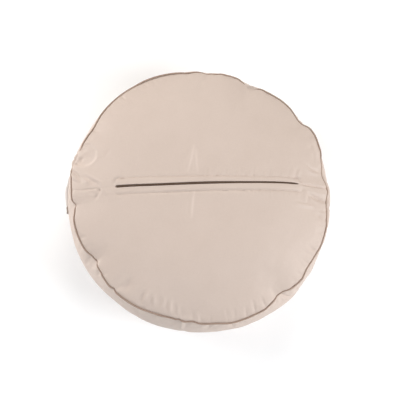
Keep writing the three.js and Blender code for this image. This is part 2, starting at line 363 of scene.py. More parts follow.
# The cover's mesh: rings inside a rim as (inset, points round), and edge lengths, millimetres.
FINE = dict(
    around=800,
    rings=[(0.8, 800), (1.8, 800), (3.2, 800), (5.2, 800), (7.5, 800), (10.0, 800)],
    top_edge=2.8,
    band_edge=2.7,
    rest_rings=[(0.8, 800), (1.8, 800), (3.2, 800), (5.2, 800), (8.5, 400), (13, 400), (20, 200)],
    rest_edge=7.5,
    strip=True,
)
COARSE = dict(
    around=400,
    rings=[(3.8, 400)],
    top_edge=4.2,
    band_edge=4.4,
    rest_rings=[(4, 400), (10, 200)],
    rest_edge=11,
    strip=False,
)

# The honeycomb of points inside the rings keeps this many of its edges from the last ring.
RING_CLEAR = 0.85

# The mesh's rows beside the crosswise seam, in millimetres: their run, and their places across it.
STRIP_REACH = 232.0
STRIP_STEP = 2.8
STRIP_LEAST_HALF = 0.4
STRIP_ROWS_BY_SLIT = [0.22, 0.9, 1.9, 3.1, 4.6]
STRIP_ROWS_BY_STITCHES = [-3.6, -2.2, -1.2, -0.4, 0.4, 1.2, 2.2, 3.8, 6.0]
STRIP_WALL = 0.15
STRIP_MIDWAY = 1.5
STRIP_EDGE = 7.6
STRIP_END = 1.6


def ring(around, radius):
    """Points evenly round a circle."""
    return radius * heading(np.arange(around) * 2 * np.pi / around)


def honeycomb(edge, radius):
    """Points that fill a disc, an edge apart."""
    step = edge * np.sqrt(3) / 2
    count = int(radius / step) + 1
    rows = np.arange(-count, count + 1)[:, None]
    columns = np.arange(-count, count + 1)[None, :]
    x = (columns + 0.5 * (rows % 2)) * edge
    y = rows * step + 0 * x
    points = np.stack([x, y], axis=-1).reshape(-1, 2)
    return points[np.hypot(points[:, 0], points[:, 1]) < radius]


def strip_rows(x):
    """Offsets of the mesh's rows beside the crosswise seam at x, in millimetres."""
    half = np.maximum(slit_half(x), STRIP_LEAST_HALF)
    beside = [half + row for row in STRIP_ROWS_BY_SLIT]
    inside = [half - STRIP_WALL, half * 0.5]
    lower, upper = stitch_lines(x)
    return [*(lower - row for row in STRIP_ROWS_BY_STITCHES), lower / 2 - STRIP_MIDWAY,
            *(-row for row in beside), *(-row for row in inside), 0 * x,
            *inside, *beside, *(upper + row for row in STRIP_ROWS_BY_STITCHES)]


def strip_points():
    """Rows of points that follow the crosswise seam, seen from above."""
    x = np.arange(-STRIP_REACH, STRIP_REACH + 0.1, STRIP_STEP)
    lean = np.hypot(1, seam_slope(x))
    rows = [np.stack([x, seam_curve(x) + offset * lean], axis=1) for offset in strip_rows(x)]
    return np.vstack(rows) * MM


def in_strip(flat, profile):
    """Whether flat places lie where the seam's own rows take over."""
    plan = profile.to_plan(flat)
    offset = seam_offset(plan)
    lower, upper = stitch_lines(plan[:, 0] / MM)
    return ((np.abs(plan[:, 0]) < (STRIP_REACH + STRIP_END) * MM)
            & (offset > lower - STRIP_EDGE) & (offset < upper + STRIP_EDGE))


def round_panel(profile, around, rings, edge, with_strip):
    """A round panel as it is cut: its flat points, the rim's first, and its triangles."""
    radius = profile.flat_radius
    rim = ring(around, radius)
    inner = np.vstack([*(ring(count, radius - inset * MM) for inset, count in rings),
                       honeycomb(edge * MM, radius - (rings[-1][0] + RING_CLEAR * edge) * MM)])
    if with_strip:
        inner = np.vstack([inner[~in_strip(inner, profile)], profile.to_flat(strip_points())])
    flat = np.vstack([rim, inner])
    edges = [(i, (i + 1) % around) for i in range(around)]
    made = delaunay_2d_cdt([Vector(place) for place in flat], edges, [], 1, 1e-8, False)
    return flat, np.array(made[2])


def band_shares(edge, rings):
    """The band's rows, close together by both rims."""
    near = [inset for inset, _ in rings]
    start = near[-1]
    steps = round((BAND_TALL - 2 * start) / edge)
    middle = start + (BAND_TALL - 2 * start) * np.arange(1, steps) / steps
    far = [BAND_TALL - inset for inset in reversed(near)]
    return np.array([0, *near, *middle, *far, BAND_TALL]) / BAND_TALL


class CoverMesh:
    """The closed cover at one fineness: two round panels and the band, sewn at the rims."""

    def __init__(self, around, rings, top_edge, band_edge, rest_rings, rest_edge, strip):
        self.around = around
        self.top_flat, top = round_panel(top_profile, around, rings, top_edge, strip)
        self.rest_flat, rest = round_panel(rest_profile, around, rest_rings, rest_edge, False)
        self.shares = band_shares(band_edge, rings)
        self.turns = np.arange(around) * 360 / around
        turn, share = np.meshgrid(self.turns, self.shares[1:-1])
        self.band_places = np.stack([turn.ravel(), share.ravel()], axis=1)
        self.band_start = len(self.top_flat)
        self.rest_start = self.band_start + len(self.band_places)
        self.count = self.rest_start + len(self.rest_flat)
        self.triangles = np.vstack([top, self.band_triangles(), rest[:, ::-1] + self.rest_start])
        self.top_triangles = top
        self.rest_triangles = rest[:, ::-1]

    def band_corners(self):
        """The band's triangles as (column, row) corners, with the closing column unwrapped."""
        column, row = np.meshgrid(np.arange(self.around), np.arange(len(self.shares) - 1))
        foot, foot_right, top_right, top = (
            np.stack([column + right, row + up], axis=-1) for right, up in [(0, 0), (1, 0), (1, 1), (0, 1)])
        lower = np.stack([foot, foot_right, top_right], axis=-2)
        upper = np.stack([foot, top_right, top], axis=-2)
        return np.stack([lower, upper], axis=-3).reshape(-1, 3, 2)

    def band_triangles(self):
        """The band's triangles, whose first and last rows are the rims' own points."""
        column = np.arange(self.around)
        inner_rows = self.band_start + np.arange(len(self.shares) - 2)[:, None] * self.around + column
        index = np.vstack([self.rest_start + column, inner_rows, column])
        corners = self.band_corners()
        return index[corners[..., 1], corners[..., 0] % self.around]

    def form(self):
        """All the points on the cover's smooth form."""
        turn, share = self.band_places.T
        return np.vstack([top_form(self.top_flat), band_form(turn, share), rest_form(self.rest_flat)])

    def pattern(self):
        """The panels at their cut size: flat discs, and a band that is as wide as it bulges."""
        radius = top_profile.flat_radius * PATTERN_SPARE
        turn, share = self.band_places.T
        bulged = radius + BAND_BULGE * np.sin(np.pi * share ** BAND_BULGE_SKEW)
        high = upper_rim.height + BAND_SPARE
        band = spoke_points(turn, bulged, lower_rim.height + share * (high - lower_rim.height))
        top = np.column_stack([self.top_flat * PATTERN_SPARE, np.full(len(self.top_flat), high)])
        rest_scale = radius / rest_profile.flat_radius
        rest = np.column_stack([self.rest_flat * rest_scale, np.full(len(self.rest_flat), lower_rim.height)])
        return np.vstack([top, band, rest])

    def sewn(self):
        """The points that the seams and the floor hold."""
        far = np.hypot(*self.rest_flat.T)
        held = np.flatnonzero((far < REST_RADIUS) | (np.arange(len(far)) < self.around))
        return np.concatenate([np.arange(self.around), self.rest_start + held])


# How the cut panels are blown up in their sewn rims: spare cloth, the cloth's make and its time.
BAND_SPARE = 5 * MM
PATTERN_SPARE = 1.03
CLOTH_SETTINGS = dict(use_pressure=True, uniform_pressure_force=8.0, quality=5, mass=0.25,
                      tension_stiffness=20, compression_stiffness=5, shear_stiffness=6,
                      bending_stiffness=0.01, air_damping=2)
SETTLE_FRAMES = 22

# How the fine cover takes the settled moves over: their limit, the levels evened out, the neighbours.
MOVE_LIMIT = 7 * MM
EVEN_LEVELS = 40
NEIGHBOURS = 8
NEIGHBOUR_REACH = 0.6
BAND_OVERLAP = 12


def settle(cover):
    """Blows the cut panels up inside their sewn rims, and gives the points where they settle."""
    body = new_object("settling", cover.form(), cover.triangles)
    body.shape_key_add(name="sewn")
    pattern = body.shape_key_add(name="pattern")
    pattern.data.foreach_set("co", cover.pattern().astype(np.float32).ravel())
    held = body.vertex_groups.new(name="held")
    held.add(cover.sewn().tolist(), 1.0, "REPLACE")
    cloth = body.modifiers.new("cloth", "CLOTH")
    cloth.settings.vertex_group_mass = held.name
    cloth.settings.rest_shape_key = pattern
    for name, value in CLOTH_SETTINGS.items():
        setattr(cloth.settings, name, value)
    cloth.settings.effector_weights.gravity = 0
    cloth.collision_settings.use_collision = False
    cloth.point_cache.frame_start = 1
    cloth.point_cache.frame_end = SETTLE_FRAMES
    scene = bpy.context.scene
    for number in range(1, SETTLE_FRAMES + 1):
        scene.frame_set(number)
    settled = body.evaluated_get(bpy.context.evaluated_depsgraph_get())
    places = vertex_places(settled.data)
    mesh = body.data
    bpy.data.objects.remove(body)
    bpy.data.meshes.remove(mesh)
    scene.frame_set(1)
    return places


def carry(coarse, moves, fine, spacing):
    """Moves at coarse places on a panel, softly carried over to fine places."""
    tree = KDTree(len(coarse))
    for index, place in enumerate(coarse):
        tree.insert((place[0], place[1], 0), index)
    tree.balance()
    found = [tree.find_n((place[0], place[1], 0), NEIGHBOURS) for place in fine]
    index = np.array([[near[1] for near in row] for row in found])
    far = np.array([[near[2] for near in row] for row in found])
    weight = hump(far, spacing * NEIGHBOUR_REACH)
    weight /= weight.sum(axis=1, keepdims=True)
    return (moves[index] * weight[:, :, None]).sum(axis=1)


def band_sheet(places):
    """Band places laid out flat in metres."""
    return places * [np.radians(1) * upper_rim.radius, upper_rim.height - lower_rim.height]


def settle_moves(fine):
    """How far the settled cloth stands off the smooth form, at the fine mesh's points."""
    coarse = CoverMesh(**COARSE)
    base = coarse.form()
    settled = settle(coarse)
    normals = point_normals(base, coarse.triangles)
    rise = ((settled - base) * normals).sum(axis=1)
    far_top = np.hypot(*coarse.top_flat.T) / top_profile.flat_radius
    far_rest = np.hypot(*coarse.rest_flat.T) / rest_profile.flat_radius
    # Points at one level of a panel share a bin: the zipped face from 0, the band from 2, the rest from 4.
    level = np.concatenate([far_top, 2 + coarse.band_places[:, 1], 4 + far_rest])
    bins = np.round(level * EVEN_LEVELS).astype(int)
    count = np.maximum(np.bincount(bins), 1)
    even = np.bincount(bins, rise) / count
    rise -= even[bins]
    rise = np.clip(rise, -MOVE_LIMIT, MOVE_LIMIT)[:, None]
    top = carry(coarse.top_flat, rise[:coarse.band_start], fine.top_flat, COARSE["top_edge"] * MM)
    wrap = np.vstack([coarse.band_places + [turn, 0] for turn in (0, -360, 360)])
    keep = (wrap[:, 0] > -BAND_OVERLAP) & (wrap[:, 0] < 360 + BAND_OVERLAP)
    band_rise = np.vstack([rise[coarse.band_start:coarse.rest_start]] * 3)
    band = carry(band_sheet(wrap[keep]), band_rise[keep], band_sheet(fine.band_places),
                 COARSE["band_edge"] * MM)
    rest = carry(coarse.rest_flat, rise[coarse.rest_start:], fine.rest_flat, COARSE["rest_edge"] * MM)
    return np.vstack([top, band, rest])[:, 0]


def point_normals(points, triangles):
    """The direction outward at each point, from the triangles that meet there."""
    corners = points[triangles]
    across = np.cross(corners[:, 1] - corners[:, 0], corners[:, 2] - corners[:, 0])
    normals = np.zeros_like(points)
    for corner in range(3):
        np.add.at(normals, triangles[:, corner], across)
    return normals / np.maximum(np.linalg.norm(normals, axis=1, keepdims=True), 1e-12)


# The crosswise seam, in millimetres: the slit's wall and lips, and the stitched-down cloth beside it.
SLIT_EDGE = 0.05
SLIT_OPEN_HALF = 0.5
LIP_ROUND = 0.5
LIP_DROP = 1.3
ALLOWANCE_RISE = 0.9
ALLOWANCE_SLOPE = 4
ALLOWANCE_LOOSE = 0.6
SEAM_VALLEY = dict(deep=1.5, wide=1.8)
SEAM_VALLEY_SHARE = [(-240, 0.35), (-226, 0.5), (-215, 0.8), (-202, 0.9), (-190, 0.25), (-184, 0.2),
                     (-162, 0.2), (-158, 1.0), (184, 0.4), (191, 0.5), (197, 1.3)]
STITCH_DEPTH_SHARES = [[(-162, 0.2), (-148, 0.4), (-100, 0.6), (-40, 1.0)],
                       [(-170, 0.3), (-100, 0.6), (-40, 1.0), (60, 0.8), (110, 0.35), (180, 0.3)]]
STITCH_VALLEY = dict(deep=1.4, wide=2.2)
STITCH_FADE = 8

# The folds fade out within this reach of a rim and partly beside the zip, the seam over this stretch.
RIM_FADE = 2.2
SEAM_FADE = (0.5, 4)
ZIP_FADE = (2.0, 6.0)
ZIP_FADE_LEAST = 0.35

# A crease's share of its depth at its ends, and how it grows from there.
CREASE_END = 0.3
CREASE_TIP = 0.02
CREASE_POWER = 0.6

# Creases in the zipped face: each follows a path, as a ridge, or as a valley where its rise is below zero.
CREASES = named_rows("path rise wide", [
    # The hollow by the rim at the upper left.
    ([(-227, 61), (-222, 66)], -3.0, 2.7), ([(-231, 55), (-229, 58)], -1.8, 2.4),
    ([(-229, 76), (-229, 82)], -0.8, 3.0), ([(-214, 69), (-204, 68)], -0.8, 2.6),
    ([(-233, 50), (-218, 49), (-205, 53), (-196, 62), (-195, 76)], 0.8, 2.6),
    ([(-173, 80), (-180, 67)], -0.9, 4),
    # Folds that run from the rim to the pinch at the seam's left end.
    ([(-240, 38), (-234, 30), (-228, 23)], 2.4, 3.2),
    ([(-240, 46), (-232, 37), (-226, 28), (-223, 22)], -3.2, 2.8),
    ([(-215, 30), (-206, 22), (-191, 12)], -1.7, 3.6), ([(-211, 35), (-198, 26), (-183, 16)], 1.3, 3.4),
    ([(-214, 20), (-207, 20)], 1.9, 4.5), ([(-191, 15.5), (-190, 11)], -1.2, 2.4),
    ([(-190.5, 5), (-189.5, 1)], -4.2, 2.2), ([(-191, -2), (-195, -7), (-199, -13)], -2.4, 2.4),
    ([(-206, -2), (-198, -2)], -1.2, 2.2), ([(-184, 14), (-184, 0)], 0.4, 2.2),
    ([(-181, -2), (-177, -16)], -1.0, 2.4),
    # The stitched ring that boxes in the zip's left end.
    ([(-165, 10), (-163, 17), (-158, 22.5), (-151, 25.5), (-142, 24)], -2.1, 2.4),
    ([(-157, 14), (-153, 19), (-147, 21)], 1.8, 2.8),
    ([(-163, 1), (-160, -4), (-154, -8), (-143, -9)], -0.6, 2.3),
    # The creases from packing, on both sides of the zip.
    ([(-34, 66), (-35, 38)], -0.8, 6), ([(-25, 76), (-25, 62)], -0.9, 4),
    ([(-16, 60), (-17, 36)], -0.8, 2.8), ([(-24, -12), (-24, -46)], -1.2, 3.4),
    ([(-37, -24), (-38, -40)], -0.6, 5),
    # Folds and pinches at the seam's right end.
    ([(179, 31), (186, 28), (193, 22)], -3.6, 2.6), ([(203, 56), (214, 48), (232, 45)], -1.8, 2.4),
    ([(200, 51), (211, 43), (229, 40)], 1.8, 3.0), ([(190, 9), (197, 6)], -1.8, 2.6),
    ([(211, 7), (224, 3), (240, 0)], 1.4, 3.0), ([(210, -3), (224, -8.5), (241, -13)], -4.8, 2.8),
    ([(198.5, 3), (198.5, -13)], 1.6, 2.3), ([(205, 3), (205, -13)], -1.6, 2.1),
    ([(190, 4), (190, -10)], -0.7, 2.0), ([(180, -21), (196, -23), (212, -24)], 2.4, 2.8),
    ([(182, -15), (200, -18)], -0.6, 2.4), ([(222, -36), (224, -44)], -1.4, 5),
    ([(205, 104), (213, 84), (217, 60)], -0.7, 3.5), ([(213, 100), (219, 82), (222, 62)], 1.2, 2.8),
    # The deep gathers at the lower left.
    ([(-130, -163), (-140, -184)], -2.2, 6), ([(-97, -186), (-104, -204)], 1.6, 4.5),
    ([(-104, -186), (-112, -203)], -1.6, 3.6), ([(-84, -193), (-85, -213)], 0.9, 3.4),
    ([(-91, -192), (-94, -213)], -1.1, 3.2), ([(-66, -198), (-71, -216)], 1.2, 3.4),
    ([(-73, -196), (-78, -214)], -0.9, 3.0), ([(-54, -204), (-56, -227)], 1.6, 3.4),
    ([(-62, -202), (-65, -219)], -1.1, 3.2), ([(-41, -214), (-41, -230)], 0.9, 3.2),
    ([(-47, -212), (-48, -228)], -0.5, 3.0), ([(-29, -223), (-29, -232)], -0.7, 4.0),
    ([(-13, -225), (-13, -234)], -0.5, 4.5), ([(-3.5, -226), (-3.5, -238)], 0.8, 3.2),
])

# The hollow's bowl, and painted highlights: paler lines painted where light catches the packing creases, the
# crease ridges and the hollow's lip.
HOLLOW = dict(at=(-218, 72), radius=22, deep=2.0, wall=4.5)
PAINTED_HIGHLIGHT_LINES = named_rows("path rise wide", [
    ([(-14, 87), (-18.5, 62), (-25.5, 36)], 0.9, 2.0),
    ([(-10.5, 78), (-9.5, 54), (-7.5, 36)], 0.8, 2.0),
    ([(-14, -2), (-16, -21), (-18.5, -50)], 1.0, 1.9),
    ([(-231, 52), (-219, 50), (-209, 53), (-201, 60), (-199, 66)], 0.85, 3.4),
    ([(-240, 38), (-234, 30), (-228, 23)], 0.35, 2.8), ([(-211, 35), (-198, 26), (-183, 16)], 0.4, 2.8),
    ([(-97, -188), (-102, -201)], 0.45, 3.4), ([(-84, -192), (-84.5, -209)], 0.5, 3.2),
    ([(-64, -199), (-70, -217)], 0.5, 3.2), ([(-54, -204), (-55.5, -225)], 0.7, 3.0),
    ([(-41, -215), (-41, -230)], 0.5, 3.0), ([(-3.5, -225), (-3, -237)], 0.5, 2.6),
    ([(181, -20), (196, -22.5), (211, -23.5)], 0.6, 2.2),
    ([(213, 100), (218, 84), (220, 66)], 0.6, 2.4),
])

# Gathers where the rim seam takes up the face's spare cloth: an arc of the rim, and how deep and long.
GATHERS = named_rows("start end count deep long wide", [
    (200, 228, 5, 0.8, 16, (2.2, 3.6)), (262, 281, 5, 1.0, 22, (2.0, 3.4)),
    (285, 306, 5, 1.0, 24, (2.2, 3.6)), (322, 352, 11, 1.2, 20, (2.0, 3.4)),
    (112, 150, 16, 1.1, 13, (1.5, 2.6)), (150, 160, 3, 1.0, 16, (2.0, 3.0)),
    (12, 60, 9, 0.7, 18, (2.2, 4.0)), (70, 100, 8, 0.7, 14, (2.0, 3.6)),
])
# What varies from gather to gather, and how far beyond the rim each starts.
GATHER_STRAY = 0.35
GATHER_SWING = 1.6
GATHER_LONG = (0.6, 1.2)
GATHER_DEEP = (0.6, 1.25)
RIM_OVERRUN = 2

# Puckers at the stitch lines: where they start and end along the seam, and how far they reach.
PUCKERS = named_rows("start end line reach count lean deep", [
    (10, 180, STITCH_UPPER, 17, 11, 0.28, 1.05), (-150, -30, STITCH_UPPER, 10, 6, 0.15, 0.5),
    (80, 180, STITCH_LOWER, -13, 8, -0.1, 0.9), (-150, 70, STITCH_LOWER, -9, 11, 0.1, 0.5),
])
# What varies from pucker to pucker, and the ridge beside each.
PUCKER_STRAY = 3.5
PUCKER_REACH = (0.6, 1.15)
PUCKER_LEAN = (0.5, 1.4)
PUCKER_VALLEY = dict(back=0.1, deep=(0.6, 1.2), wide=(2.2, 3.6))
PUCKER_RIDGE = dict(beside=(4.5, 5), share=0.8, tall=(0.5, 1.2), wide=(2.6, 4.2))

# Soft unevenness of the filling: place, height and reach.
LUMPS = named_rows("at rise reach", [
    ((-120, 120), 1.6, 60), ((-95, 40), -2.3, 55), ((40, 100), -0.8, 60), ((150, 90), 0.2, 45),
    ((-60, -70), -2.6, 60), ((120, -120), 1.7, 55), ((170, -50), 0.8, 35), ((-150, -30), -1.2, 45),
    ((-150, -100), 0.3, 45), ((0, -190), 0.7, 40), ((60, -30), -0.8, 50),
])
TOP_RIPPLES = dict(waves=24, lengths=(18, 60), height=0.10)

# The band: its unevenness, laid round a cylinder, its join and the gathers by its rims.
BAND_RIPPLES = dict(waves=20, lengths=(25, 80), height=0.32)
BAND_RIPPLE_RADIUS = 243
BAND_JOIN_TURN = 66.0
BAND_JOIN_VALLEY = dict(deep=1.1, wide=1.5)
BAND_JOIN_RIDGE = dict(beside=6, rise=0.4, wide=5)
BAND_GATHERS = named_rows("count deep long wide", [
    (90, 1.6, (18, 60), (2.4, 5.5)), (170, 2.0, (7, 20), (2.2, 4.0)),
])
BAND_GATHER_LEAN = 0.18
BAND_GATHER_DEEP = (0.4, 1.2)
BAND_GATHERS_AT_TOP = 0.6
BAND_GATHER_NEAR = 30
RIM_OVERLAP = 1

# The resting face: a faint unevenness, and creases that run in from its rim.
REST_RIPPLES = dict(waves=16, lengths=(25, 70), height=0.15)
REST_CREASES = dict(count=40, long=(15, 40), deep=(0.3, 0.9), wide=(2.5, 4.5))
REST_EASE = 25 * MM

# Where the band swells over the rim seam, in degrees and millimetres.
BAND_LIPS = named_rows("at arc below tall out", [
    (165.0, 3.4, 2.5, 6.0, 4.2), (192.0, 7.0, 60, 55, -1.5), (209.0, 5.0, 60, 55, 1.2),
    (235.0, 12.0, 60, 55, -3.2), (261.0, 12.0, 60, 55, -4.2), (292.0, 8.0, 60, 55, 3.0),
    (309.0, 11.0, 60, 55, 6.5), (315.0, 3.4, 60, 55, 1.8), (327.0, 7.0, 60, 55, 2.5),
    (343.0, 5.0, 30, 30, 1.8), (350.0, 5.0, 9, 10, 2.2), (356.0, 3.0, 14, 14, 1.0),
    (358.0, 7.0, 10, 11, 3.2), (8.0, 6.0, 12, 14, 3.2),
])

# Folds in the band: their ends as degrees round it and millimetres below the rim.
BAND_FOLDS = named_rows("start end rise wide", [
    ((308.6, 1), (314.0, 60), -5.0, 3.2), ((306.2, 4), (311.0, 60), 0.4, 5.0),
    ((261.8, 2), (262.4, 70), 1.6, 3.4), ((263.6, 2), (264.0, 55), -0.9, 3.4),
    ((251.0, 2), (253.0, 45), -1.4, 4.0), ((274.0, 2), (273.0, 50), -1.2, 5.0),
    ((241.0, 2), (243.0, 60), -1.2, 5.0), ((288.0, 2), (290.0, 60), -1.2, 5.0),
    ((297.0, 2), (300.0, 40), 1.0, 5.0),
])


def crease(x, y, path, rise, wide):
    """A soft ridge along a path, or a valley where it falls, that fades towards its ends."""
    lengths = [np.hypot(*np.subtract(end, start)) for start, end in zip(path, path[1:])]
    nearest = np.full(np.shape(x), np.inf)
    share = np.zeros(np.shape(x))
    before = 0.0
    for start, end, length in zip(path, path[1:], lengths):
        along = np.subtract(end, start) / length
        run = np.clip((x - start[0]) * along[0] + (y - start[1]) * along[1], 0, length)
        far = np.hypot(x - start[0] - run * along[0], y - start[1] - run * along[1])
        share = np.where(far < nearest, (before + run) / sum(lengths), share)
        nearest = np.minimum(far, nearest)
        before += length
    swell = np.sin(np.pi * np.clip(share, CREASE_TIP, 1 - CREASE_TIP)) ** CREASE_POWER
    return rise * (CREASE_END + (1 - CREASE_END) * swell) * hump(nearest, wide)


def seam_relief(x, offset):
    """The slit, its rolled lips, the seam's valley and the stitched-down cloth beside it."""
    half = slit_half(x)
    away = np.abs(offset)
    opened = np.clip(half / SLIT_OPEN_HALF, 0, 1)
    inside = away < half + SLIT_EDGE
    slit = np.where(inside, -SLIT_DEEP * opened, 0)
    lip = -LIP_DROP * opened * np.exp(-np.clip(away - half, 0, None) / LIP_ROUND) * ~inside
    valley = -SEAM_VALLEY["deep"] * (1 - opened) * hump(away, SEAM_VALLEY["wide"])
    valley = valley * read_off(SEAM_VALLEY_SHARE, x)
    lower, upper = stitch_lines(x)
    raised = ALLOWANCE_RISE * (soft_step(offset, lower, lower + ALLOWANCE_SLOPE)
                               * soft_step(offset, upper, upper - ALLOWANCE_SLOPE))
    stitched = 0
    for line, (start, end), share in zip([lower, upper], STITCH_ENDS, STITCH_DEPTH_SHARES):
        reach = (soft_step(x, start - STITCH_FADE, start + STITCH_FADE)
                 * soft_step(x, end + STITCH_FADE, end - STITCH_FADE))
        deep = STITCH_VALLEY["deep"] * read_off(share, x)
        stitched = stitched - deep * reach * hump(offset - line, STITCH_VALLEY["wide"])
        raised = raised * (ALLOWANCE_LOOSE + (1 - ALLOWANCE_LOOSE) * reach)
    return slit + lip + valley + raised + stitched


def pucker_creases():
    """Each pucker at the stitch lines: a valley, and a lower ridge beside it."""
    valley, ridge = PUCKER_VALLEY, PUCKER_RIDGE
    for row in PUCKERS:
        places = np.linspace(row["start"], row["end"], row["count"])
        places = places + random.uniform(-PUCKER_STRAY, PUCKER_STRAY, row["count"])
        for x in places:
            foot = float(seam_curve(x)) + float(read_off(row["line"], x))
            reach = row["reach"] * random.uniform(*PUCKER_REACH)
            lean = row["lean"] * reach * random.uniform(*PUCKER_LEAN)
            yield dict(path=[(x, foot - valley["back"] * reach), (x + lean, foot + reach)],
                       rise=-row["deep"] * random.uniform(*valley["deep"]),
                       wide=random.uniform(*valley["wide"]))
            start, end = ridge["beside"]
            yield dict(path=[(x + start, foot), (x + lean + end, foot + ridge["share"] * reach)],
                       rise=ridge["share"] * row["deep"] * random.uniform(*ridge["tall"]),
                       wide=random.uniform(*ridge["wide"]))


def gather_creases():
    """The valleys that run in from the rim of the zipped face."""
    rim = upper_rim.radius / MM
    for row in GATHERS:
        spread = (row["end"] - row["start"]) / row["count"]
        for turn in np.linspace(row["start"], row["end"], row["count"]):
            turn = np.radians(turn + random.uniform(-GATHER_STRAY, GATHER_STRAY) * spread)
            long = row["long"] * random.uniform(*GATHER_LONG)
            swing = turn + np.radians(random.uniform(-GATHER_SWING, GATHER_SWING))
            yield dict(path=[(rim + RIM_OVERRUN) * heading(turn), (rim - long) * heading(swing)],
                       rise=-row["deep"] * random.uniform(*GATHER_DEEP),
                       wide=random.uniform(*row["wide"]))


def ripples(x, y, waves, lengths, height):
    """Faint irregular unevenness: many crossing waves of mixed lengths, in millimetres."""
    total = np.zeros_like(x)
    for _ in range(waves):
        turn, start = random.uniform(0, 2 * np.pi, 2)
        long = random.uniform(*lengths)
        total += np.sin(2 * np.pi * (x * np.cos(turn) + y * np.sin(turn)) / long + start)
    return total * height / np.sqrt(waves)


def top_relief(flat):
    """How far the zipped face's folds and sewing stand off its smooth form, in metres."""
    plan = top_profile.to_plan(flat)
    x, y = plan.T / MM
    inset = (top_profile.flat_radius - np.hypot(*flat.T)) / MM
    soft = ripples(x, y, **TOP_RIPPLES)
    for row in LUMPS:
        far = np.hypot(x - row["at"][0], y - row["at"][1])
        soft = soft + row["rise"] * hump(far, row["reach"])
    for row in [*CREASES, *pucker_creases(), *gather_creases()]:
        soft = soft + crease(x, y, **row)
    far = np.hypot(x - HOLLOW["at"][0], y - HOLLOW["at"][1]) - HOLLOW["radius"]
    soft = soft - HOLLOW["deep"] * soft_step(far, HOLLOW["wall"] / 2, -HOLLOW["wall"] / 2)
    offset = seam_offset(plan)
    beside_zip = ZIP_FADE_LEAST + (1 - ZIP_FADE_LEAST) * soft_step(np.abs(offset), *ZIP_FADE)
    soft = soft * np.where(slit_half(x) > 0, beside_zip, 1) * (1 - hump(inset, RIM_FADE))
    return (soft + seam_relief(x, offset) * soft_step(inset, *SEAM_FADE)) * MM


def painted_highlight_marks(flat):
    """How strongly each place on the zipped face is paled by a painted highlight along a crease ridge or
    lip.
    """
    x, y = top_profile.to_plan(flat).T / MM
    return sum(crease(x, y, **row) for row in PAINTED_HIGHLIGHT_LINES)


def band_gathers(turn, height):
    """The many small valleys that run down and up from the band's rims."""
    around = 2 * np.pi * upper_rim.radius / MM
    total = np.zeros_like(turn)
    for row in [row for row in BAND_GATHERS for _ in range(row["count"])]:
        place = random.uniform(0, around)
        long = random.uniform(*row["long"])
        lean = random.uniform(-BAND_GATHER_LEAN, BAND_GATHER_LEAN) * long
        rise = -row["deep"] * random.uniform(*BAND_GATHER_DEEP)
        wide = random.uniform(*row["wide"])
        at_top = random.random() < BAND_GATHERS_AT_TOP
        foot, end = (BAND_TALL + RIM_OVERLAP, BAND_TALL - long) if at_top else (-RIM_OVERLAP, long)
        beside = (turn * MM_PER_DEGREE - place + around / 2) % around - around / 2
        near = np.abs(beside) < BAND_GATHER_NEAR
        total[near] += crease(beside[near], height[near], [(0, foot), (lean, end)], rise, wide)
    return total


def band_relief(places):
    """How far the side band's gathers, join, folds and lips stand off its smooth form, in metres."""
    turn, share = places.T
    height = share * BAND_TALL
    below = BAND_TALL - height
    x, y = BAND_RIPPLE_RADIUS * heading(np.radians(turn)).T
    total = ripples(x, y + height, **BAND_RIPPLES) + band_gathers(turn, height)
    beside = turns_apart(turn, BAND_JOIN_TURN) * MM_PER_DEGREE
    total -= BAND_JOIN_VALLEY["deep"] * hump(beside, BAND_JOIN_VALLEY["wide"])
    total += BAND_JOIN_RIDGE["rise"] * hump(beside - BAND_JOIN_RIDGE["beside"], BAND_JOIN_RIDGE["wide"])
    for row in BAND_FOLDS:
        (first, top), (last, foot) = row["start"], row["end"]
        beside = turns_apart(turn, first) * MM_PER_DEGREE
        path = [(0, top), ((last - first) * MM_PER_DEGREE, foot)]
        total += crease(beside, below, path, row["rise"], row["wide"])
    for row in BAND_LIPS:
        beside = turns_apart(turn, row["at"]) / row["arc"]
        under = (below - row["below"]) / row["tall"]
        total += row["out"] * np.exp(-beside ** 2 - under ** 2)
    return total * (1 - hump(np.minimum(height, below), RIM_FADE)) * MM


def rest_relief(flat):
    """How far the resting face's creases stand off its smooth form, in metres."""
    x, y = flat.T / MM
    radius = rest_profile.flat_radius / MM
    total = ripples(x, y, **REST_RIPPLES)
    for _ in range(REST_CREASES["count"]):
        along = heading(random.uniform(0, 2 * np.pi))
        long = random.uniform(*REST_CREASES["long"])
        path = [(radius + RIM_OVERRUN) * along, (radius - long) * along]
        rise = -random.uniform(*REST_CREASES["deep"])
        total = total + crease(x, y, path, rise, random.uniform(*REST_CREASES["wide"]))
    return total * (1 - hump(radius - np.hypot(x, y), RIM_FADE)) * MM


# Where the cut panels lie in the texture square, and their scale in it.
UV_PER_METRE = 0.5
TOP_UV = np.array([0.26, 0.26])
REST_UV = np.array([0.74, 0.26])
BAND_UV = np.array([0.02, 0.6])


def cover_uv(cover):
    """Each face corner's place on the cut panels, laid out side by side."""
    column, row = cover.band_corners().reshape(-1, 2).T
    around = column * 2 * np.pi / cover.around * upper_rim.radius
    upward = cover.shares[row] * (upper_rim.height - lower_rim.height)
    return np.vstack([
        cover.top_flat[cover.top_triangles].reshape(-1, 2) * UV_PER_METRE + TOP_UV,
        np.stack([around, upward], axis=1) * UV_PER_METRE + BAND_UV,
        cover.rest_flat[cover.rest_triangles].reshape(-1, 2) * UV_PER_METRE + REST_UV,
    ])


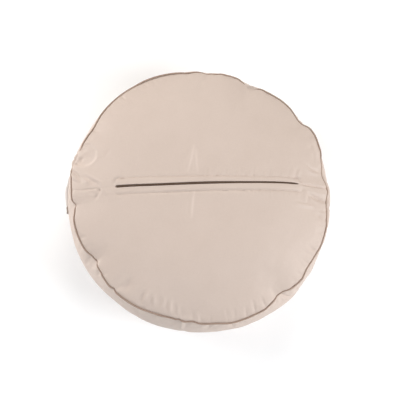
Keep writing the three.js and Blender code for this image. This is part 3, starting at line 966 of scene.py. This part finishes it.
def make_cover():
    """The padded cover: its panels blown up in their seams, then creased, gathered and sewn."""
    fine = CoverMesh(**FINE)
    points = fine.form()
    normals = point_normals(points, fine.triangles)
    points += normals * settle_moves(fine)[:, None]
    normals = point_normals(points, fine.triangles)
    relief = np.concatenate([top_relief(fine.top_flat), band_relief(fine.band_places),
                             rest_relief(fine.rest_flat)])
    far = np.hypot(*fine.rest_flat.T)
    relief[fine.rest_start:] *= soft_step(far, REST_RADIUS, REST_RADIUS + REST_EASE)
    points += normals * relief[:, None]
    points[:, 2] = np.maximum(points[:, 2], 0)
    cover = new_object("cover", points + CENTRE, fine.triangles)
    layer = cover.data.uv_layers.new(name="panels")
    layer.data.foreach_set("uv", cover_uv(fine).astype(np.float32).ravel())
    # Painted highlights: how far each point of the zipped face is paled where light catches its crease
    # ridges.
    highlight_marks = np.zeros(fine.count, np.float32)
    highlight_marks[:fine.band_start] = painted_highlight_marks(fine.top_flat)
    cover.data.attributes.new("pressed", "FLOAT", "POINT").data.foreach_set("value", highlight_marks)
    cover.data.shade_smooth()
    return cover


# How far above the pouf, and beyond its axis, a look at its surface starts, in metres.
LOOK_FROM = 0.4


class Skin:
    """The finished cover's surface, to set other pieces on."""

    def __init__(self, cover):
        mesh = cover.data
        self.tree = BVHTree.FromPolygons(
            [vertex.co.copy() for vertex in mesh.vertices],
            [tuple(face.vertices) for face in mesh.polygons])

    def top(self, x, y):
        """The height of the zipped face at a place in millimetres from the circles' centre."""
        start = Vector(CENTRE) + Vector((x * MM, y * MM, LOOK_FROM))
        return self.tree.ray_cast(start, Vector((0, 0, -1)))[0].z

    def band(self, turn, z):
        """The band's distance from the circles' axis."""
        outward = Vector(spoke_points(turn, 1.0, 0.0))
        middle = Vector(CENTRE) + Vector((0, 0, z))
        hit = self.tree.ray_cast(middle + outward * LOOK_FROM, -outward)[0]
        return (hit - middle).length


def tube(sections, closed):
    """Quads over rows of points: each row a loop, and the rows joined end to end if closed."""
    rows, across = len(sections), len(sections[0])
    count = rows if closed else rows - 1
    row = np.arange(count)[:, None]
    column = np.arange(across)[None, :]
    here, beyond = row * across, (row + 1) % rows * across
    after = (column + 1) % across
    return np.stack([here + column, here + after, beyond + after, beyond + column], axis=-1).reshape(-1, 4)


def tube_uv(rows, across, long, wide):
    """Metres along and around a closed tube, for each face corner."""
    row, column = np.meshgrid(np.arange(rows), np.arange(across), indexing="ij")
    corners = [(row, column), (row, column + 1), (row + 1, column + 1), (row + 1, column)]
    return np.stack([np.stack([a * long / rows, b * wide / across], axis=-1) for a, b in corners],
                    axis=2).reshape(-1, 2)


# The piping: its cord, how far it stands out of the seam, and how far down the cloth may cover it.
PIPING_RADIUS = 1.55 * MM
PIPING_STAND = 1.5 * MM
PIPING_SINK = 1.7 * MM
PIPING_STEPS = 900
PIPING_SIDES = 14

# The cord's unevenness: shares of its radius and millimetres of wander, on waves of these lengths / 2 pi.
PIPING_SWELL = dict(share=0.04, waves=(3.1, 17))
PIPING_RIBS = dict(share=0.03, wave=1.7)
PIPING_WANDER = named_rows("far wave start", [(0.25, 23, 0), (0.2, 9.3, 1)])

# How much of the near piping shows between the cover's lips, round the rim.
PIPING_SHOWS = [(0, 0.1), (12, 0.1), (18, 0.5), (24, 0.9), (30, 0.7), (42, 0.5), (54, 0.85), (62, 0.95),
                (64.8, -0.6), (67.4, -0.6), (69.5, 0.95), (76, 0.7), (84, 0.6), (92, 0.5), (98, 1.2),
                (116, 1.3), (122, 0.4), (132, 0.45), (143, 0.7), (150, 0.95), (157, 0.7), (161, -0.8),
                (168.5, -0.8), (171.5, 0.35), (180, 0.55), (187, 1.0), (230, 1.0), (240, 1.1), (260, 1.1),
                (285, 0.9), (300, 0.85), (312, 0.8), (325, 0.5), (345, 0.3)]


def make_piping(name, rim, shows):
    """The covered cord in a rim's seam, a little uneven where its bias cover puckers."""
    turns = np.arange(PIPING_STEPS) * 360 / PIPING_STEPS
    stand = PIPING_STAND - (1 - read_off(shows, turns, 360)) * PIPING_SINK
    reach = rim.radius + rim.fold(turns) + stand * np.cos(SEAM_LEAN)
    height = rim.lift(turns) + rim.face_side * stand * np.sin(SEAM_LEAN)
    around = turns * np.pi / 180 * rim.radius / MM
    first, second = (np.sin(around / wave) for wave in PIPING_SWELL["waves"])
    ribs = PIPING_RIBS["share"] * np.sin(around / PIPING_RIBS["wave"])
    uneven = 1 + PIPING_SWELL["share"] * first * second + ribs
    wander = sum(row["far"] * MM * np.sin(around / row["wave"] + row["start"]) for row in PIPING_WANDER)
    around_cord = np.arange(PIPING_SIDES) * 2 * np.pi / PIPING_SIDES
    radius = PIPING_RADIUS * uneven[:, None]
    far = reach[:, None] + radius * np.cos(around_cord)
    high = (height + wander)[:, None] + radius * np.sin(around_cord)
    points = spoke_points(np.repeat(turns[:, None], PIPING_SIDES, axis=1), far, high) + CENTRE
    faces = tube(points, True)
    piece = new_object(name, points.reshape(-1, 3), faces[:, ::-1])
    uv = tube_uv(PIPING_STEPS, PIPING_SIDES, 2 * np.pi * rim.radius, 2 * np.pi * PIPING_RADIUS)
    layer = piece.data.uv_layers.new(name="along")
    layer.data.foreach_set("uv", uv.reshape(-1, 4, 2)[:, ::-1].astype(np.float32).ravel())
    piece.data.shade_smooth()
    return piece


class Tree:
    """A node tree being built: every node comes from one method."""

    def __init__(self, tree):
        self.tree = tree

    def add(self, kind, settings=None, sockets=None):
        """A new node, with its settings, a ramp's stops and what its sockets take."""
        node = self.tree.nodes.new(kind)
        for name, value in (settings or {}).items():
            if name == "stops":
                for stop, (place, colour) in zip(stops_of(node, len(value)), value):
                    stop.position = place
                    stop.color = (*colour, 1)
            else:
                setattr(node, name, value)
        self.feed(node, sockets or {})
        return node

    def feed(self, node, sockets):
        """Links values to a node's sockets, or sets numbers in them."""
        for name, value in sockets.items():
            if isinstance(value, Value):
                self.tree.links.new(value.socket, node.inputs[name])
            else:
                node.inputs[name].default_value = value

    def value(self, kind, settings=None, sockets=None, out=0):
        """One output of a new node."""
        return Value(self, self.add(kind, settings, sockets).outputs[out])


def stops_of(ramp, count):
    """A ramp's stops, as many as are asked for."""
    elements = ramp.color_ramp.elements
    while len(elements) < count:
        elements.new(0.5)
    return elements


class Value:
    """A socket's number, on which Python's operators add Math nodes."""

    def __init__(self, tree, socket):
        self.tree = tree
        self.socket = socket

    def maths(self, operation, *others):
        """A Math node of this value and others."""
        sockets = dict(enumerate([self, *others]))
        return self.tree.value("ShaderNodeMath", {"operation": operation}, sockets)

    def __add__(self, other):
        return self.maths("ADD", other)

    def __sub__(self, other):
        return self.maths("SUBTRACT", other)

    def __mul__(self, other):
        return self.maths("MULTIPLY", other)

    def __rsub__(self, other):
        return (self * -1) + other

    __radd__ = __add__
    __rmul__ = __mul__


# Colours, as the light that the finishes give back.
CLOTH = (0.600, 0.494, 0.430)
CLOTH_DEEP = (0.545, 0.440, 0.378)
# A paler tone, painted as highlight along crease ridges and the hollow's lip.
CLOTH_PAINTED_HIGHLIGHT = (0.660, 0.548, 0.482)
PIPING = (0.385, 0.280, 0.220)
PIPING_DEEP = (0.260, 0.180, 0.140)
BINDING = (0.330, 0.262, 0.215)
BINDING_DEEP = (0.240, 0.185, 0.150)
TAB_CLOTH = (0.600, 0.545, 0.510)
TAB_CLOTH_DEEP = (0.540, 0.482, 0.445)
ZIP = (0.155, 0.094, 0.062)
ZIP_DEEP = (0.085, 0.050, 0.033)
THREAD = (0.560, 0.455, 0.385)

# Cloths, in millimetres: the pitch of their threads, the length of a thick place in a yarn, the bump.
THREAD_PITCH = 0.62
FINE_THREAD_PITCH = 0.5
SLUB_LONG = 14
CLOTH_BUMP = 0.12
CLOTH_SHEEN_ROUGHNESS = 0.45
CLOTH_GLOSS = 0.35
BROAD_TONE = dict(scale=22.0, detail=3.0)
MOTTLE = dict(scale=260.0, detail=2.0)

# How much the yarns, the broad tone, the mottle and the threads each bring to tone, gloss and bump.
TONE_SHARES = dict(slub=0.9, tone=0.5, mottle=0.35, threads=0.3, middle=0.45)
GLOSS_SHARES = dict(threads=-0.10, slub=0.12, middle=0.05)
BUMP_SHARES = dict(threads=0.6, slub=0.8, mottle=0.9)
COVER_LOOK = dict(roughness=0.55, sheen=0.15, bump=0.5)
TRIM_LOOK = dict(roughness=0.65, sheen=0.1, bump=0.6)

# The smooth finishes: where their two tones lie in the noise, their uneven gloss and their bump.
SMOOTH_STOPS = (0.3, 0.7)
SMOOTH_GLOSS = dict(grain=0.2, middle=-0.1)
SMOOTH_BUMP = dict(strength=0.3, distance=0.1)


def weave(u, v, pitch):
    """The height of a plain weave's crossing threads, from 0 to 1."""
    turns = np.pi / (pitch * MM)
    warp = (u * turns).maths("SINE").maths("ABSOLUTE")
    weft = (v * turns).maths("SINE").maths("ABSOLUTE")
    over = (u * turns).maths("SINE") * (v * turns).maths("SINE")
    side = over.maths("GREATER_THAN", 0.0)
    return warp * side + weft * (1 - side)


def new_finish(name):
    """A new material, the tree of its nodes and its shader."""
    material = bpy.data.materials.new(name)
    material.use_nodes = True
    return material, Tree(material.node_tree), material.node_tree.nodes["Principled BSDF"]


def flat_noise(tree, place, scale, detail):
    """Noise over the cut cloth."""
    return tree.value("ShaderNodeTexNoise", {"noise_dimensions": "2D"},
                      {"Vector": place, "Scale": scale, "Detail": detail})


def mapped(tree, place, sockets):
    """Places turned or stretched by a Mapping node."""
    return tree.value("ShaderNodeMapping", None, {"Vector": place, **sockets}, out="Vector")


def bumped(tree, height, strength, distance):
    """The normal of a surface that a height makes uneven."""
    return tree.value("ShaderNodeBump", None, {"Height": height, "Strength": strength,
                                               "Distance": distance * MM}, out="Normal")


def cloth_material(name, light, dark, uv_layer, per_metre, pitch, roughness, sheen, bump,
                   slant=0.0, painted_highlight_colour=None):
    """Plainly woven cloth: threads at their real pitch, slubs, and soft changes of tone."""
    material, tree, shader = new_finish(name)
    layer = tree.value("ShaderNodeUVMap", {"uv_map": uv_layer})
    metres = mapped(tree, layer, {"Rotation": (0, 0, slant), "Scale": (1 / per_metre,) * 3})
    parts = tree.add("ShaderNodeSeparateXYZ", None, {"Vector": metres})
    u, v = Value(tree, parts.outputs["X"]), Value(tree, parts.outputs["Y"])
    threads = weave(u, v, pitch)
    across, along = 1 / (pitch * MM), 1 / (SLUB_LONG * MM)
    slubs = [flat_noise(tree, mapped(tree, metres, {"Scale": stretch}), 1.0, 2.0)
             for stretch in ((across, along, 1), (along, across, 1))]
    slub = (slubs[0] + slubs[1]) * 0.5
    tone = flat_noise(tree, metres, **BROAD_TONE)
    mottle = flat_noise(tree, metres, **MOTTLE)
    share = ((slub - 0.5) * TONE_SHARES["slub"] + (tone - 0.5) * TONE_SHARES["tone"]
             + (mottle - 0.5) * TONE_SHARES["mottle"] + threads * TONE_SHARES["threads"]
             + TONE_SHARES["middle"])
    rough = (threads * GLOSS_SHARES["threads"] + (slub - 0.5) * GLOSS_SHARES["slub"]
             + (roughness + GLOSS_SHARES["middle"]))
    height = (threads * BUMP_SHARES["threads"] + slub * BUMP_SHARES["slub"]
              + mottle * BUMP_SHARES["mottle"])
    colour = tree.value("ShaderNodeValToRGB", {"stops": [(0.0, dark), (1.0, light)]}, {"Fac": share})
    # Where a highlight colour is given, it is painted in along the marked crease ridges as painted
    # highlight.
    if painted_highlight_colour:
        highlight_marks = tree.value("ShaderNodeAttribute", {"attribute_name": "pressed"}, out="Fac")
        colour = tree.value("ShaderNodeMixRGB", None,
                            {"Fac": highlight_marks, "Color1": colour, "Color2": (*painted_highlight_colour, 1)})
    tree.feed(shader, {
        "Base Color": colour,
        "Roughness": rough,
        "Sheen Weight": sheen,
        "Sheen Roughness": CLOTH_SHEEN_ROUGHNESS,
        "Sheen Tint": (*light, 1),
        "Specular IOR Level": CLOTH_GLOSS,
        "Normal": bumped(tree, height, bump, CLOTH_BUMP),
    })
    return material


def plain_material(name, light, dark, roughness, scale):
    """A smooth moulded or spun finish, with its tone and gloss a little uneven."""
    material, tree, shader = new_finish(name)
    spot = tree.value("ShaderNodeTexCoord", out="Object")
    grain = tree.value("ShaderNodeTexNoise", None, {"Vector": spot, "Scale": scale, "Detail": 3.0})
    stops = list(zip(SMOOTH_STOPS, (dark, light)))
    tree.feed(shader, {
        "Base Color": tree.value("ShaderNodeValToRGB", {"stops": stops}, {"Fac": grain}),
        "Roughness": grain * SMOOTH_GLOSS["grain"] + (roughness + SMOOTH_GLOSS["middle"]),
        "Normal": bumped(tree, grain, **SMOOTH_BUMP),
    })
    return material


# The zip, in millimetres: its coil's turns, how deep it lies, and the section of its tape.
COIL_PITCH = 1.45
COIL_TURN = dict(long=0.93, radius_across=2.5, radius_high=0.42, sides=10, steps=5)
COIL_SWING = 0.5
COIL_LEAN = 0.16
ZIP_SINK = 0.9
ZIP_UNDER = 1
ZIP_LEVEL_BESIDE = 2.6
TAPE_SINK = 2.0
TAPE_SECTION = [(-2.9, 0.3), (-1.6, 0.05), (0, -0.25), (1.6, 0.05), (2.9, 0.3), (2.9, -0.2), (0, -0.7),
                (-2.9, -0.2)]

# The stitches, in millimetres, and the step of the paths that stitches and coil follow.
STITCH_PITCH = 3.6
STITCH = dict(long=3.1, radius_across=0.24, radius_high=0.24, sides=8, steps=7)
STITCH_STAND = 0.1
PATH_STEP = 1.5
STITCH_SMOOTHING = 4
ZIP_SMOOTHING = 8

# How blunt a rounded bar ends.
BAR_END = 0.04


def rounded_bar(name, long, radius_across, radius_high, sides, steps):
    """A rounded bar along Z, small enough to repeat by the hundred."""
    share = np.linspace(-1, 1, steps)
    swell = np.sqrt(np.clip(1 - share ** 2, BAR_END, 1)) ** 0.5
    turn = np.arange(sides) * 2 * np.pi / sides
    points = np.stack([
        radius_across * swell[:, None] * np.cos(turn),
        radius_high * swell[:, None] * np.sin(turn),
        np.repeat(share[:, None] * long / 2, sides, axis=1)], axis=-1)
    ends = [tuple(range(sides))[::-1], tuple(range((steps - 1) * sides, steps * sides))]
    return new_mesh(name, points.reshape(-1, 3) * MM, [*tube(points, False), *ends])


# What a row of parts asks for, and the kind of each socket.
ROW_INPUTS = dict(Geometry="Geometry", Pitch="Float", Part="Object", Finish="Material", Shift="Float",
                  Lean="Float")


def row_tree(name, alternate):
    """Parts set along a curve at a pitch; every second one may swing and shift to the other side."""
    group = bpy.data.node_groups.new(name, "GeometryNodeTree")
    face = group.interface
    for socket, kind in ROW_INPUTS.items():
        face.new_socket(socket, in_out="INPUT", socket_type="NodeSocket" + kind)
    face.new_socket("Geometry", in_out="OUTPUT", socket_type="NodeSocketGeometry")
    tree = Tree(group)
    given = tree.add("NodeGroupInput")
    asked = {socket.name: Value(tree, socket) for socket in given.outputs if socket.name}
    line = tree.value("GeometryNodeMeshToCurve", None, {"Mesh": asked["Geometry"]})
    line = tree.value("GeometryNodeSetCurveNormal", {"mode": "Z_UP"}, {"Curve": line})
    line = tree.value("GeometryNodeResampleCurve", {"mode": "LENGTH"},
                      {"Curve": line, "Length": asked["Pitch"]})
    spots = tree.add("GeometryNodeCurveToPoints", {"mode": "EVALUATED"}, {"Curve": line})
    part = tree.value("GeometryNodeObjectInfo", None, {"Object": asked["Part"]}, out="Geometry")
    parts = tree.value("GeometryNodeInstanceOnPoints", None, {
        "Points": Value(tree, spots.outputs["Points"]), "Instance": part,
        "Rotation": Value(tree, spots.outputs["Rotation"])})
    if alternate:
        number = tree.value("GeometryNodeInputIndex")
        side = number.maths("MODULO", 2.0) * 2 - 1
        turned = tree.value("ShaderNodeCombineXYZ", None, {"Y": side * asked["Lean"]})
        turned = tree.value("FunctionNodeEulerToRotation", None, {"Euler": turned})
        parts = tree.value("GeometryNodeRotateInstances", None,
                           {"Instances": parts, "Rotation": turned})
        moved = tree.value("ShaderNodeCombineXYZ", None, {"X": side * asked["Shift"]})
        parts = tree.value("GeometryNodeTranslateInstances", None,
                           {"Instances": parts, "Translation": moved})
    whole = tree.value("GeometryNodeRealizeInstances", None, {"Geometry": parts})
    whole = tree.value("GeometryNodeSetMaterial", None, {"Geometry": whole, "Material": asked["Finish"]})
    tree.add("NodeGroupOutput", None, {"Geometry": whole})
    return group


def laid_row(name, path, group, part_mesh, **sizes):
    """A plain mesh of parts in a row along a path of points."""
    steps = [(i, i + 1) for i in range(len(path) - 1)]
    line = put_in_scene(name + "_path", new_mesh(name + "_path", path, edges=steps))
    part = put_in_scene(name + "_part", part_mesh)
    row = line.modifiers.new("row", "NODES")
    row.node_group = group
    sockets = {item.name: item.identifier for item in group.interface.items_tree if item.in_out == "INPUT"}
    for size, value in {**sizes, "Part": part}.items():
        row[sockets[size]] = value
    made = bpy.data.meshes.new_from_object(
        line.evaluated_get(bpy.context.evaluated_depsgraph_get()))
    for helper in (line, part):
        bpy.data.objects.remove(helper)
    piece = put_in_scene(name, made)
    made.shade_smooth()
    return piece


def smoothed(points, rounds):
    """Takes the weave of the mesh out of a path's heights."""
    points = np.array(points)
    for _ in range(rounds):
        points[1:-1, 2] = (points[:-2, 2] + 2 * points[1:-1, 2] + points[2:, 2]) / 4
    return points


def seam_path(skin, ends, line):
    """Points just over the cover at a stitch line's distance from the crosswise seam."""
    points = []
    for x in np.arange(ends[0], ends[1] + 0.1, PATH_STEP):
        y = float(seam_curve(x)) + float(read_off(line, x)) * float(np.hypot(1, seam_slope(x)))
        points.append(CENTRE + np.array([x * MM, y * MM, skin.top(x, y) + STITCH_STAND * MM]))
    return smoothed(points, STITCH_SMOOTHING)


def zip_path(skin, sink):
    """The zip's line under the slit, level with the cover on both sides less its sink."""
    points = []
    for x in np.arange(ZIP_ENDS[0] - ZIP_UNDER, ZIP_ENDS[1] + ZIP_UNDER, PATH_STEP):
        y = float(seam_curve(x))
        beside = float(slit_half(x)) + ZIP_LEVEL_BESIDE
        height = min(skin.top(x, y - beside), skin.top(x, y + beside))
        points.append(CENTRE + np.array([x * MM, y * MM, height - sink * MM]))
    return smoothed(points, ZIP_SMOOTHING)


def recalculate(mesh):
    """Turns all the faces outward."""
    work = bmesh.new()
    work.from_mesh(mesh)
    bmesh.ops.recalc_face_normals(work, faces=work.faces)
    work.to_mesh(mesh)
    work.free()


def make_zip(skin, teeth_finish, tape_finish):
    """The coil's turns, leaning to and fro as the two sides mesh, over their woven tapes."""
    turn = rounded_bar("coil_turn", **COIL_TURN)
    coil = laid_row("zip_coil", zip_path(skin, ZIP_SINK), row_tree("coil_row", True), turn,
                    Pitch=COIL_PITCH * MM, Finish=teeth_finish, Shift=COIL_SWING * MM, Lean=COIL_LEAN)
    section = np.array([(0, across, high) for across, high in TAPE_SECTION]) * MM
    sections = np.array([point + section for point in zip_path(skin, TAPE_SINK)[::2]])
    count = len(sections) * len(section)
    ends = [tuple(range(len(section)))[::-1], tuple(range(count - len(section), count))]
    tape = new_object("zip_tape", sections.reshape(-1, 3), [*tube(sections, False), *ends])
    tape.data.materials.append(tape_finish)
    recalculate(tape.data)
    return coil, tape


def make_stitches(skin, finish):
    """The two lines that hold the seam's turned-back cloth down."""
    group = row_tree("stitch_row", False)
    part = rounded_bar("stitch", **STITCH)
    rows = []
    names = ["stitch_line_lower", "stitch_line_upper"]
    for name, line, ends in zip(names, [STITCH_LOWER, STITCH_UPPER], STITCH_ENDS):
        rows.append(laid_row(name, seam_path(skin, ends, line), group, part.copy(),
                             Pitch=STITCH_PITCH * MM, Finish=finish))
    return rows


# The side tab and its bound end: heights in the frame in millimetres, and thickness by turn round the band.
TAB = dict(low=82.5, high=107.5, thickness=[
    (169.6, 2.2), (171.2, 2.9), (173.1, 3.2), (174.9, 5.3), (176.7, 5.5), (178.5, 4.7), (179.8, 4.0),
    (181.6, 3.2), (183.1, 3.2)])
TAB_BINDING = dict(low=81.5, high=108.5, thickness=[
    (183.2, 3.2), (184.2, 2.9), (185.0, 2.7), (185.8, 3.4)])
STRAP_SINK = 0.3
STRAP_STEPS = 64
STRAP_ACROSS = 18
STRAP_THIN = 0.5
STRAP_THIN_OVER = 0.05
STRAP_EDGE_POWER = 6
STRAP_UV_RADIUS = 260 * MM


def make_strap(name, skin, low, high, thickness, uv_name):
    """A soft-edged strap sewn along the band, thinner at both ends."""
    turns = np.linspace(thickness[0][0], thickness[-1][0], STRAP_STEPS)
    ease = np.linspace(0, 1, STRAP_STEPS)
    thin = 1 - soft_step(np.minimum(ease, 1 - ease), 0, STRAP_THIN_OVER)
    thicks = read_off(thickness, turns) * (1 - STRAP_THIN * thin)
    side = np.cos(np.linspace(0, np.pi, STRAP_ACROSS))
    middle, half = (low + high) / 2, (high - low) / 2
    sections = []
    for turn, thick in zip(turns, thicks):
        section = []
        for off, shares in ((thick, side), (-STRAP_SINK, side[::-1][1:-1])):
            for share in shares:
                z = (middle + half * share) * MM
                edge = np.sqrt(1 - abs(share) ** STRAP_EDGE_POWER)
                section.append(spoke_points(turn, skin.band(turn, z) + edge * off * MM, z) + CENTRE)
        sections.append(section)
    points = np.array(sections)
    across = points.shape[1]
    last = (len(points) - 1) * across
    ends = [range(across), range(last, last + across)]
    mesh = new_mesh(name, points.reshape(-1, 3), [*tube(points, False), *ends])
    recalculate(mesh)
    layer = mesh.uv_layers.new(name=uv_name)
    long = np.radians(turns - turns[0]) * STRAP_UV_RADIUS
    for loop in mesh.loops:
        row, column = divmod(loop.vertex_index, across)
        layer.data[loop.index].uv = (long[row] * UV_PER_METRE, points[row, column, 2] * UV_PER_METRE)
    mesh.shade_smooth()
    return put_in_scene(name, mesh)


# The studio, in metres, and its lamps: a turn and a climb in degrees from the pouf, and their light.
WORLD_STRENGTH = 0.08
FLOOR_HALF = 6
FLOOR_TONE = 0.82
FLOOR_ROUGHNESS = 0.9
FLOOR_GLOW = 0.2
LAMP_DISTANCE = 2.6
LAMP_SIZE = 1.5
LAMPS = dict(
    lamp_upper_left=dict(turn=160, climb=22, watts=51, colour=(1.0, 0.99, 0.98)),
    lamp_right=dict(turn=340, climb=32, watts=52.5, colour=(0.99, 1.0, 1.01)),
    lamp_near=dict(turn=250, climb=50, watts=23, colour=(0.97, 1.0, 1.04)),
    lamp_far=dict(turn=84, climb=42, watts=29, colour=(1.03, 1.0, 0.95)),
)


def make_studio():
    """A pale floor lit through from below, a faint even surround and four broad lamps."""
    material, tree, shader = new_finish("studio_floor")
    tree.feed(shader, {
        "Base Color": (FLOOR_TONE, FLOOR_TONE, FLOOR_TONE, 1),
        "Roughness": FLOOR_ROUGHNESS,
        "Emission Color": (1, 1, 1, 1),
        "Emission Strength": FLOOR_GLOW,
    })
    corners = [(x * FLOOR_HALF, y * FLOOR_HALF, 0.0) for x, y in [(-1, -1), (1, -1), (1, 1), (-1, 1)]]
    floor = new_object("floor", corners, [(0, 1, 2, 3)])
    floor.data.materials.append(material)
    world = bpy.data.worlds.new("studio")
    world.use_nodes = True
    surround = Tree(world.node_tree)
    surround.feed(world.node_tree.nodes["Background"],
                  {"Color": (1.0, 1.0, 1.0, 1), "Strength": WORLD_STRENGTH})
    bpy.context.scene.world = world
    for name, row in LAMPS.items():
        data = bpy.data.lights.new(name, "AREA")
        data.shape = "DISK"
        data.size = LAMP_SIZE
        data.energy = row["watts"]
        data.color = row["colour"]
        lamp = put_in_scene(name, data)
        climb = np.radians(row["climb"])
        at = Vector(spoke_points(row["turn"], LAMP_DISTANCE * np.cos(climb), LAMP_DISTANCE * np.sin(climb)))
        towards = at - Vector((0, 0, upper_rim.height))
        lamp.matrix_world = Matrix.Translation(at) @ towards.to_track_quat("Z", "Y").to_matrix().to_4x4()
    bpy.context.scene.view_settings.view_transform = "Standard"


def finish_piece(piece, *nodes, slot):
    """Says what a piece rides on and which CAD nodes it replaces; its slot is not used."""
    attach(piece, "root")
    if nodes:
        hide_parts(*nodes)


make_camera()
make_studio()

# The cover cloth carries painted highlights along its crease ridges.
cover_cloth = cloth_material("cover_cloth", CLOTH, CLOTH_DEEP, "panels", UV_PER_METRE, THREAD_PITCH,
                             **COVER_LOOK, painted_highlight_colour=CLOTH_PAINTED_HIGHLIGHT)
piping_cloth = cloth_material("piping_cloth", PIPING, PIPING_DEEP, "along", per_metre=1.0,
                              pitch=FINE_THREAD_PITCH, **TRIM_LOOK, slant=np.pi / 4)
tab_cloth = cloth_material("tab_cloth", TAB_CLOTH, TAB_CLOTH_DEEP, "panels", UV_PER_METRE,
                           THREAD_PITCH, **COVER_LOOK)
binding_cloth = cloth_material("binding_cloth", BINDING, BINDING_DEEP, "along", UV_PER_METRE,
                               FINE_THREAD_PITCH, **TRIM_LOOK)
zip_nylon = plain_material("zip_nylon", ZIP, ZIP_DEEP, roughness=0.42, scale=900)
zip_tape = plain_material("zip_tape", ZIP, ZIP_DEEP, roughness=0.8, scale=2500)
thread = plain_material("thread", THREAD, CLOTH_DEEP, roughness=0.6, scale=1800)

cover = make_cover()
cover.data.materials.append(cover_cloth)
skin = Skin(cover)
finish_piece(cover, "pouf_body", slot="cover_cloth")

for name, node, rim, shows in [("piping_near", "rim_piping_upper", upper_rim, PIPING_SHOWS),
                               ("piping_far", "rim_piping_lower", lower_rim, [(0, 1.0)])]:
    piping = make_piping(name, rim, shows)
    piping.data.materials.append(piping_cloth)
    finish_piece(piping, node, slot="piping_cloth")

coil, tape = make_zip(skin, zip_nylon, zip_tape)
finish_piece(coil, "zip", slot="zip_teeth")
finish_piece(tape, slot="zip_teeth")
for stitches in make_stitches(skin, thread):
    finish_piece(stitches, slot="cover_cloth")

tab = make_strap("tab", skin, **TAB, uv_name="panels")
tab.data.materials.append(tab_cloth)
finish_piece(tab, "side_tab", slot="cover_cloth")
binding = make_strap("tab_binding", skin, **TAB_BINDING, uv_name="along")
binding.data.materials.append(binding_cloth)
finish_piece(binding, "side_tab_binding", slot="piping_cloth")
